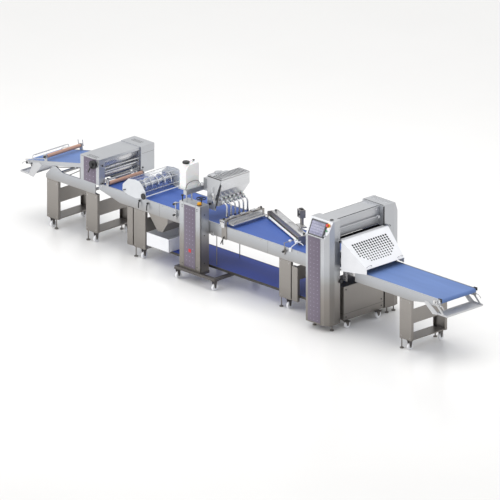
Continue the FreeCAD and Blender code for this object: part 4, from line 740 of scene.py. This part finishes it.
def build_press():
    turn = Matrix.Rotation(PRESS_TURN, 4, "Z")
    turn.translation = Vector((PRESS_X, PRESS_Y, 0))
    lids = Piece("angled_unit_lids", "bright", "stainless")
    lids.block((14, -48, PRESS_LID), (560, 48, PRESS_LID + 5), 2, turn)
    lids.block((568, -48, PRESS_LID), (1130, 48, PRESS_LID + 5), 2, turn)
    for along in (20, 290, 560, 850, 1120):
        disc(lids, press_at(along, 0, PRESS_LID + 4), UP, 9, 5)
    lids.block((638, 60, PRESS_LID + 1), (812, 152, PRESS_LID + 5), 2, turn)
    lids.done()
    dark = Piece("angled_unit_gaps", "dark_steel", "stainless")
    dark.block((10, -57, 930), (1133, -54, 944), 1, turn)
    dark.done()
    lens = Piece("sensor_lens", "black", "black_plastic")
    lens.block((612, 97, 1114), (650, 101, 1196), 3, turn)
    disc(lens, press_at(680, 100, 1158), press_at(0, -1, 0) - press_at(0, 0, 0), 14, 10)
    lens.block((612, 118, 1213), (680, 162, 1228), 4, turn)
    lens.done()
    grips = Piece("angled_unit_knobs", "black", "black_plastic")
    for along in (60, 1090):
        knob(grips, press_at(along, 0, PRESS_LID + 4), UP, 16, 24)
    knob(grips, (1040, -371, 830), (0, -1, 0), 16, 24)
    grips.done()
    clamp = Piece("angled_unit_clamps", "white", "white_paint")
    for x, y in ((1040, -250), (1085, -190), (1150, -240)):
        clamp.block((x - 16, y - 16, 938), (x + 16, y + 16, 968), 4)
    clamp.tube([(1085, -190, 950), (1200, -190, 950), (1235, -190, 920)], 6, smooth=True)
    clamp.tube([(1150, -345, 905), (1150, -240, 950), (1150, -150, 950)], 6, smooth=True)
    clamp.block((1130, -362, 850), (1170, -345, 905), 4)
    clamp.done()


# ------------------------------------------------------------------ depositor and trolley
NOZZLES = 6
NOZZLE_FIRST, NOZZLE_PITCH = -197, 79
NOZZLE_X, NOZZLE_TIP = -244, 930
NOZZLE_RADIUS = 12.2
MANIFOLD_Z = 1150
HOPPER_LEFT, HOPPER_RIGHT = -502, -301
HOPPER_FRONT, HOPPER_BACK = -260, 288
HOPPER_RIM = 1484
SIDE_PLATE = -290
STOP_AT = Vector((-504, -470, TROLLEY_TOP))


def build_depositor():
    trolley = "trolley"
    sleeves = Piece("nozzle_sleeves", "blue", "blue_plastic", trolley)
    bands = Piece("nozzle_bands", "black", "black_plastic", trolley)
    valves = Piece("nozzle_valves", "milk", "white_plastic", trolley)
    inner = NOZZLE_RADIUS
    for i in range(NOZZLES):
        y = NOZZLE_FIRST + NOZZLE_PITCH * i
        sleeves.turned([(inner, 0), (16, 0), (16, 20), (13, 44), (inner, 44)],
                       about((NOZZLE_X, y, NOZZLE_TIP - 2), UP))
        bands.turned([(inner, 0), (17.5, 0), (17.5, 9), (inner, 9)],
                     about((NOZZLE_X, y, NOZZLE_TIP + 32), UP))
        disc(valves, (-314, y, MANIFOLD_Z), (1, 0, 0), 24, 8, 3)
        knob(valves, (-350, y, MANIFOLD_Z + 29), UP, 15, 26)
    for piece in (sleeves, bands, valves):
        piece.done()
    rim = Piece("hopper_rim", "dark_steel", "stainless", trolley)
    rim.tube([(HOPPER_LEFT, HOPPER_FRONT, HOPPER_RIM), (HOPPER_RIGHT, HOPPER_FRONT, HOPPER_RIM),
              (HOPPER_RIGHT, HOPPER_BACK, HOPPER_RIM), (HOPPER_LEFT, HOPPER_BACK, HOPPER_RIM)], 4,
             closed=True)
    rim.done()
    side = Piece("depositor_side_details", "black", "black_plastic", trolley)
    y = SIDE_PLATE - 3
    side.tube([(-372, y, 1078), (-300, y, 1300), (-262, y, 1440)], 8)
    side.block((-520, y, 1500), (-262, y + 4, 1514), 1)
    knob(side, (-470, SIDE_PLATE, 1120), (0, -1, 0), 18, 24)
    side.done()
    latch = Piece("depositor_latch", "chrome", "chromed_steel", trolley)
    latch.block((-440, -300, 1130), (-400, -288, 1290), 3)
    latch.tube([(-420, -300, 1290), (-420, -318, 1320), (-420, -300, 1370)], 6, smooth=True)
    latch.tube([(-700, -205, 1340), (-760, -205, 1340), (-760, -205, 1298)], 7, smooth=True)
    latch.done()
    head = Piece("pump_drive", "steel", "stainless", trolley)
    head.block((-690, -120, 1418), (-560, 120, 1452), 6)
    disc(head, (-625, 0, 1450), UP, 48, 26, 4)
    for y in (-60, 0, 60):
        head.tube([(-560, y, 1330), (-520, y, 1330), (-503, y, 1300)], 8, smooth=True)
    head.done()


def build_trolley():
    trolley = "trolley"
    badge_x, badge_z = -640, 452
    trim_panel("trolley_panel", -751, -536, TROLLEY_FACE, 205, 1100, trolley,
               [(badge_x, badge_z, 48)])
    badge = Piece("red_badge", "red", "red_plastic", trolley)
    badge.block((badge_x - 24, TROLLEY_FACE - 5, badge_z - 24),
                (badge_x + 24, TROLLEY_FACE - 0.5, badge_z + 24), 3)
    badge.done()
    seams = Piece("trolley_seams", "dark_steel", "stainless", trolley)
    y = TROLLEY_FACE - 1
    seams.block((TROLLEY_SIDE_X - 5, y, 184), (TROLLEY_SIDE_X + 1, y + 7, TROLLEY_TOP - 3), 0.8)
    seams.block((TROLLEY_SIDE_X - 0.6, y + 21, 184),
                (TROLLEY_SIDE_X + 1.2, y + 25, TROLLEY_TOP - 3), 0.5)
    for x in (-760, -530):
        seams.block((x, y, 190), (x + 3, y + 1.6, TROLLEY_TOP - 6), 0.5)
    seams.done()
    locks = Piece("trolley_locks", "black", "black_plastic", trolley)
    for x in (-790, -500):
        for z in (1085, 1060, 240):
            disc(locks, (x, TROLLEY_FACE, z), (0, -1, 0), 7, 3)
    for z in (300, 700, 1000):
        disc(locks, (TROLLEY_SIDE_X, -440, z), (1, 0, 0), 8, 4)
    locks.done()
    top = Piece("trolley_stop_base", "black", "black_plastic", trolley)
    top.turned([(9, 0), (34, 0), (34, 8), (30, 13), (9, 13)], about(STOP_AT, UP))
    top.tube([(-815, -490, TROLLEY_TOP), (-815, -490, TROLLEY_TOP + 59)], 8)
    knob(top, (-815, -490, TROLLEY_TOP + 55), UP, 18, 30)
    top.done()
    collar = Piece("trolley_stop_collar", "yellow", "yellow_plastic", trolley)
    collar.turned([(9, 13), (33, 13), (33, 15.5), (9, 15.5)], about(STOP_AT, UP))
    collar.done()
    rods = Piece("canister_wire_guard", "dark_steel", "stainless", trolley)
    x = -742
    rods.tube([(x, -500, 1297), (x, -500, 1400), (x, -225, 1400), (x, -225, 1297)], 4, smooth=True)
    rods.done()


def build_canister():
    caps = Piece("canister_caps", "black", "black_plastic", "trolley")
    left, right, shoulder = -880, -757, 1632
    middle = (left + right) / 2
    knob(caps, (middle, -418, shoulder + 2), UP, 51, 44)
    knob(caps, (middle, -275, shoulder + 16), UP, 17, 22)
    caps.done()
    seam = Piece("canister_ribs", "milk", "white_plastic", "trolley")
    for z in (1330, 1460):
        seam.block((left - 3, -483, z), (right + 3, -227, z + 8), 3)
    seam.tube([(middle, -350, shoulder), (middle, -350, shoulder + 36),
               (middle, -300, shoulder + 40), (middle, -290, shoulder + 8)], 11, smooth=True)
    seam.done()


def build_cutter():
    grips = Piece("cutter_guard_knobs", "black", "black_plastic", "cutter_guard")
    knob(grips, (-1690, -372, 939), (0, -1, 0), 44, 26)
    grips.tube([(-2050, -374, 950), (-2085, -392, 935)], 7)
    knob(grips, (-2080, 384, 935), (0, 1, 0), 20, 20)
    grips.done()
    ribs = Piece("cutter_guard_ribs", "bright", "stainless", "cutter_guard")
    for x, z in ((-2002, 1114), (-1872, 1134), (-1790, 1128), (-1734, 1080), (-1671, 1003)):
        ribs.tube([(x, -368, z), (x, 380, z)], 4)
    ribs.done()
    levers = Piece("rail_clamp_levers", "black", "black_plastic")
    for x in (-1800, -1640):
        levers.tube([(x, -350, 840), (x, -378, 830), (x + 12, -384, 750)], 8, smooth=True)
        knob(levers, (x, -346, 842), (0, -1, 0), 15, 20)
    levers.done()
    hubs = Piece("cutter_bearing_caps", "bright", "stainless")
    for side in SIDES:
        hubs.turned([(0, 0), (30, 0), (30, 6), (22, 12), (0, 13)],
                    about((CUTTER_X, (RAIL_Y + 0.5) * side, CUTTER_Z), (0, side, 0)))
        hubs.block((CUTTER_X - 50, RAIL_Y * side - 14, 1040),
                   (CUTTER_X + 50, RAIL_Y * side - 2, 1056), 3)
    hubs.done()
    blades = Piece("cutter_hubs", "chrome", "chromed_steel", "rotary_cutter")
    for y in (-300, -180, -60, 60, 180, 300):
        blades.turned([(30, -14), (38, -10), (38, 10), (30, 14)],
                      about((CUTTER_X, y, CUTTER_Z), (0, 1, 0)))
    blades.done()
    rings = Piece("cutter_rings", "blue", "blue_plastic", "rotary_cutter")
    for y in (-240, -120, 0, 120, 240):
        rings.turned([(30, -3), (41, -3), (41, 3), (30, 3)],
                     about((CUTTER_X, y, CUTTER_Z), (0, 1, 0)))
    rings.done()


def build_bin():
    rim = Piece("scrap_bin_rim", "white", "white_paint", "scrap_bin")
    left, right, front, back, top = -1650, -1222, -360, 239, 419
    rim.tube([(left, front, top), (right, front, top), (right, back, top), (left, back, top)], 5,
             closed=True)
    rim.done()


# ------------------------------------------------------------------ moulding head and outfeed
def build_head_boxes():
    trim_panel("head_panel", -2805, -2563, -445, 915, 1262, "line_frame", [(-2600, 1195, 70)])
    slots = Piece("head_vents", "black", "black_plastic")
    for centre, z in (((-2682, -385), 1275), ((-2692, 470), 1286)):
        for column in range(7):
            for row in range(2):
                x = centre[0] - 84 + column * 28
                y = centre[1] - 20 + row * 40
                slots.block((x - 5, y - 15, z - 0.8), (x + 5, y + 15, z + 0.7), 3)
    slots.done()
    knobs = Piece("head_box_knobs", "black", "black_plastic")
    for z in (1184, 925):
        knob(knobs, (-2502, -390, z), (1, 0, 0), 12, 18)
    knobs.done()
    edges = Piece("head_fold_lines", "dark_steel", "stainless")
    edges.block((-2870, -445.8, 1262), (-2504, -444.6, 1264.5), 0.4)
    edges.block((-2502.6, -440, 1262), (-2501.4, -338, 1264.5), 0.4)
    edges.block((-2481, 360, 1180), (-2479.2, 588, 1183), 0.4)
    edges.done()
    bars = Piece("head_cross_bars", "chrome", "chromed_steel")
    for x, z, radius in ((-2530, 1236, 14), (-2545, 1060, 16), (-2520, 1120, 9), (-2536, 935, 14)):
        bars.tube([(x, -335, z), (x, 335, z)], radius)
    bars.done()
    scraper = Piece("head_scraper", "bright", "stainless")
    scraper.block((-2560, -330, 1150), (-2552, 330, 1215), 2)
    for side in SIDES:
        scraper.block((-2530, 330 * side - 4, 905), (-2510, 330 * side + 4, 1262), 2)
    scraper.done()


SLOPE = math.radians(11.45)
OUTFEED_X, OUTFEED_Z = -4076, 858


def on_outfeed(along, y, above):
    """A point of the inclined conveyor, from the lower end of its belt."""
    return Vector((OUTFEED_X + along * math.cos(SLOPE) - above * math.sin(SLOPE), y,
                   OUTFEED_Z + along * math.sin(SLOPE) + above * math.cos(SLOPE)))


def build_outfeed():
    guide = Piece("outfeed_guides", "bright", "stainless")
    for y in (-200, 0, 200):
        guide.tube([on_outfeed(330, y, 60), on_outfeed(400, y, 60)], 5)
    guide.tube([on_outfeed(330, -300, 60), on_outfeed(330, 300, 60)], 6)
    for along in (150, 168, 186):
        guide.tube([on_outfeed(along, -318, 75), on_outfeed(along, 318, 75)], 3.5)
    for y in (-300, -100, 100, 300):
        guide.tube([on_outfeed(142, y, 72), on_outfeed(194, y, 72)], 3)
    for side in SIDES:
        guide.tube([on_outfeed(168, 318 * side, 75), on_outfeed(168, 344 * side, 70),
                    on_outfeed(168, 346 * side, 0)], 5)
    for side in SIDES:
        guide.tube([on_outfeed(20, 352 * side, 18), on_outfeed(430, 352 * side, 44)], 5)
    for along in (380, 470):
        guide.tube([on_outfeed(along, 340, 60), on_outfeed(along, 340, 150)], 6)
    for side in SIDES:
        guide.block((-4040, RAIL_Y * side - 8, 832), (-3985, RAIL_Y * side + 8, 868), 4)
        guide.tube([on_outfeed(60, 352 * side, -20), on_outfeed(-30, 352 * side, -10),
                    on_outfeed(-60, 352 * side, -50)], 5, smooth=True)
    guide.done()
    grips = Piece("outfeed_knobs", "black", "black_plastic")
    for side in SIDES:
        knob(grips, on_outfeed(425, 346 * side, 69), (0, side, 0), 18, 24)
        knob(grips, on_outfeed(45, 346 * side, -26), (0, side, 0), 15, 18)
    grips.tube([on_outfeed(120, -350, -30), on_outfeed(150, -372, -70)], 7)
    grips.done()
    braces = Piece("outfeed_braces", "dark_steel", "stainless")
    for side in SIDES:
        braces.tube([(-3480, 338 * side, 905), (-3040, 338 * side, 1010)], 6)
        braces.tube([(-2985, 338 * side, 858), (-2985, 338 * side, 1030)], 8)
        braces.tube([(-3200, 338 * side, 858), (-2985, 338 * side, 980)], 6)
    braces.done()


# ------------------------------------------------------------------ floor, light and camera
def build_stage():
    made = Shader("studio_floor", roughness=0.22, Specular_IOR_Level=0.35)
    tone = made.noise(0.6, detail=2.0)
    made.color(made.ramp(tone, [(0.3, (0.935, 0.93, 0.92)), (0.7, (0.95, 0.945, 0.935))]))
    mesh = bpy.data.meshes.new("floor")
    reach = 60.0
    mesh.from_pydata([(-reach, -reach, -0.001), (reach, -reach, -0.001), (reach, reach, -0.001),
                      (-reach, reach, -0.001)], [], [(0, 1, 2, 3)])
    mesh.materials.append(made.material)
    floor = bpy.data.objects.new("floor", mesh)
    bpy.context.scene.collection.objects.link(floor)


def area_light(name, at, target, size, power, color=(1, 1, 1)):
    light = bpy.data.lights.new(name, "AREA")
    light.shape = "RECTANGLE"
    light.size, light.size_y = size
    light.energy = power
    light.color = color
    obj = bpy.data.objects.new(name, light)
    obj.location = at
    direction = Vector(target) - Vector(at)
    obj.rotation_euler = direction.to_track_quat("-Z", "Y").to_euler()
    bpy.context.scene.collection.objects.link(obj)


def build_lights():
    world = bpy.data.worlds.new("studio")
    world.use_nodes = True
    background = world.node_tree.nodes["Background"]
    background.inputs["Color"].default_value = (1.0, 1.0, 1.0, 1)
    background.inputs["Strength"].default_value = 0.80
    bpy.context.scene.world = world
    area_light("overhead", (0, 1.0, 7.0), (0, 0, 0), (11, 5), 230)
    area_light("operator_side", (-3.5, -7.0, 4.0), (0, 0, 0.8), (8, 3), 150)
    sky = bpy.data.lights.new("even_daylight", "SUN")
    sky.energy = 0.50
    sky.angle = 1.2
    lamp = bpy.data.objects.new("even_daylight", sky)
    lamp.rotation_euler = (math.radians(20), math.radians(-15), 0)
    bpy.context.scene.collection.objects.link(lamp)
    view = bpy.context.scene.view_settings
    view.view_transform = "Standard"


AZIMUTH = math.radians(45.6)
ELEVATION = math.radians(19.6)
PIXELS_PER_MM = 0.0731
DISTANCE = 300.0
FRAME_X_MM = 3.0
FRAME_Y_MM = 466.0


def build_camera():
    """A far camera with a long lens, turned to the line's three-quarter view."""
    right = Vector((math.cos(AZIMUTH), math.sin(AZIMUTH), 0))
    back = Vector((math.sin(AZIMUTH) * math.cos(ELEVATION),
                   -math.cos(AZIMUTH) * math.cos(ELEVATION), math.sin(ELEVATION)))
    up = back.cross(right)
    data = bpy.data.cameras.new("camera")
    data.sensor_width = 36
    data.lens = 36 * DISTANCE * 1000 * PIXELS_PER_MM / 500
    data.clip_end = DISTANCE + 40
    camera = bpy.data.objects.new("camera", data)
    camera.matrix_world = Matrix((right, up, back)).transposed().to_4x4()
    camera.location = (back * DISTANCE + right * FRAME_X_MM * MM + up * FRAME_Y_MM * MM
                       + Vector((0, LINE_Y * MM, 0)))
    bpy.context.scene.collection.objects.link(camera)
    bpy.context.scene.camera = camera


dress_cad()
build_console()
build_back_column()
build_head()
build_hood()
build_throat()
build_cabinet()
build_infeed()
build_stands()
build_cross_pans()
build_table()
build_plough()
build_guillotine()
build_press()
build_depositor()
build_trolley()
build_canister()
build_cutter()
build_bin()
build_head_boxes()
build_outfeed()
build_stage()
build_lights()
build_camera()
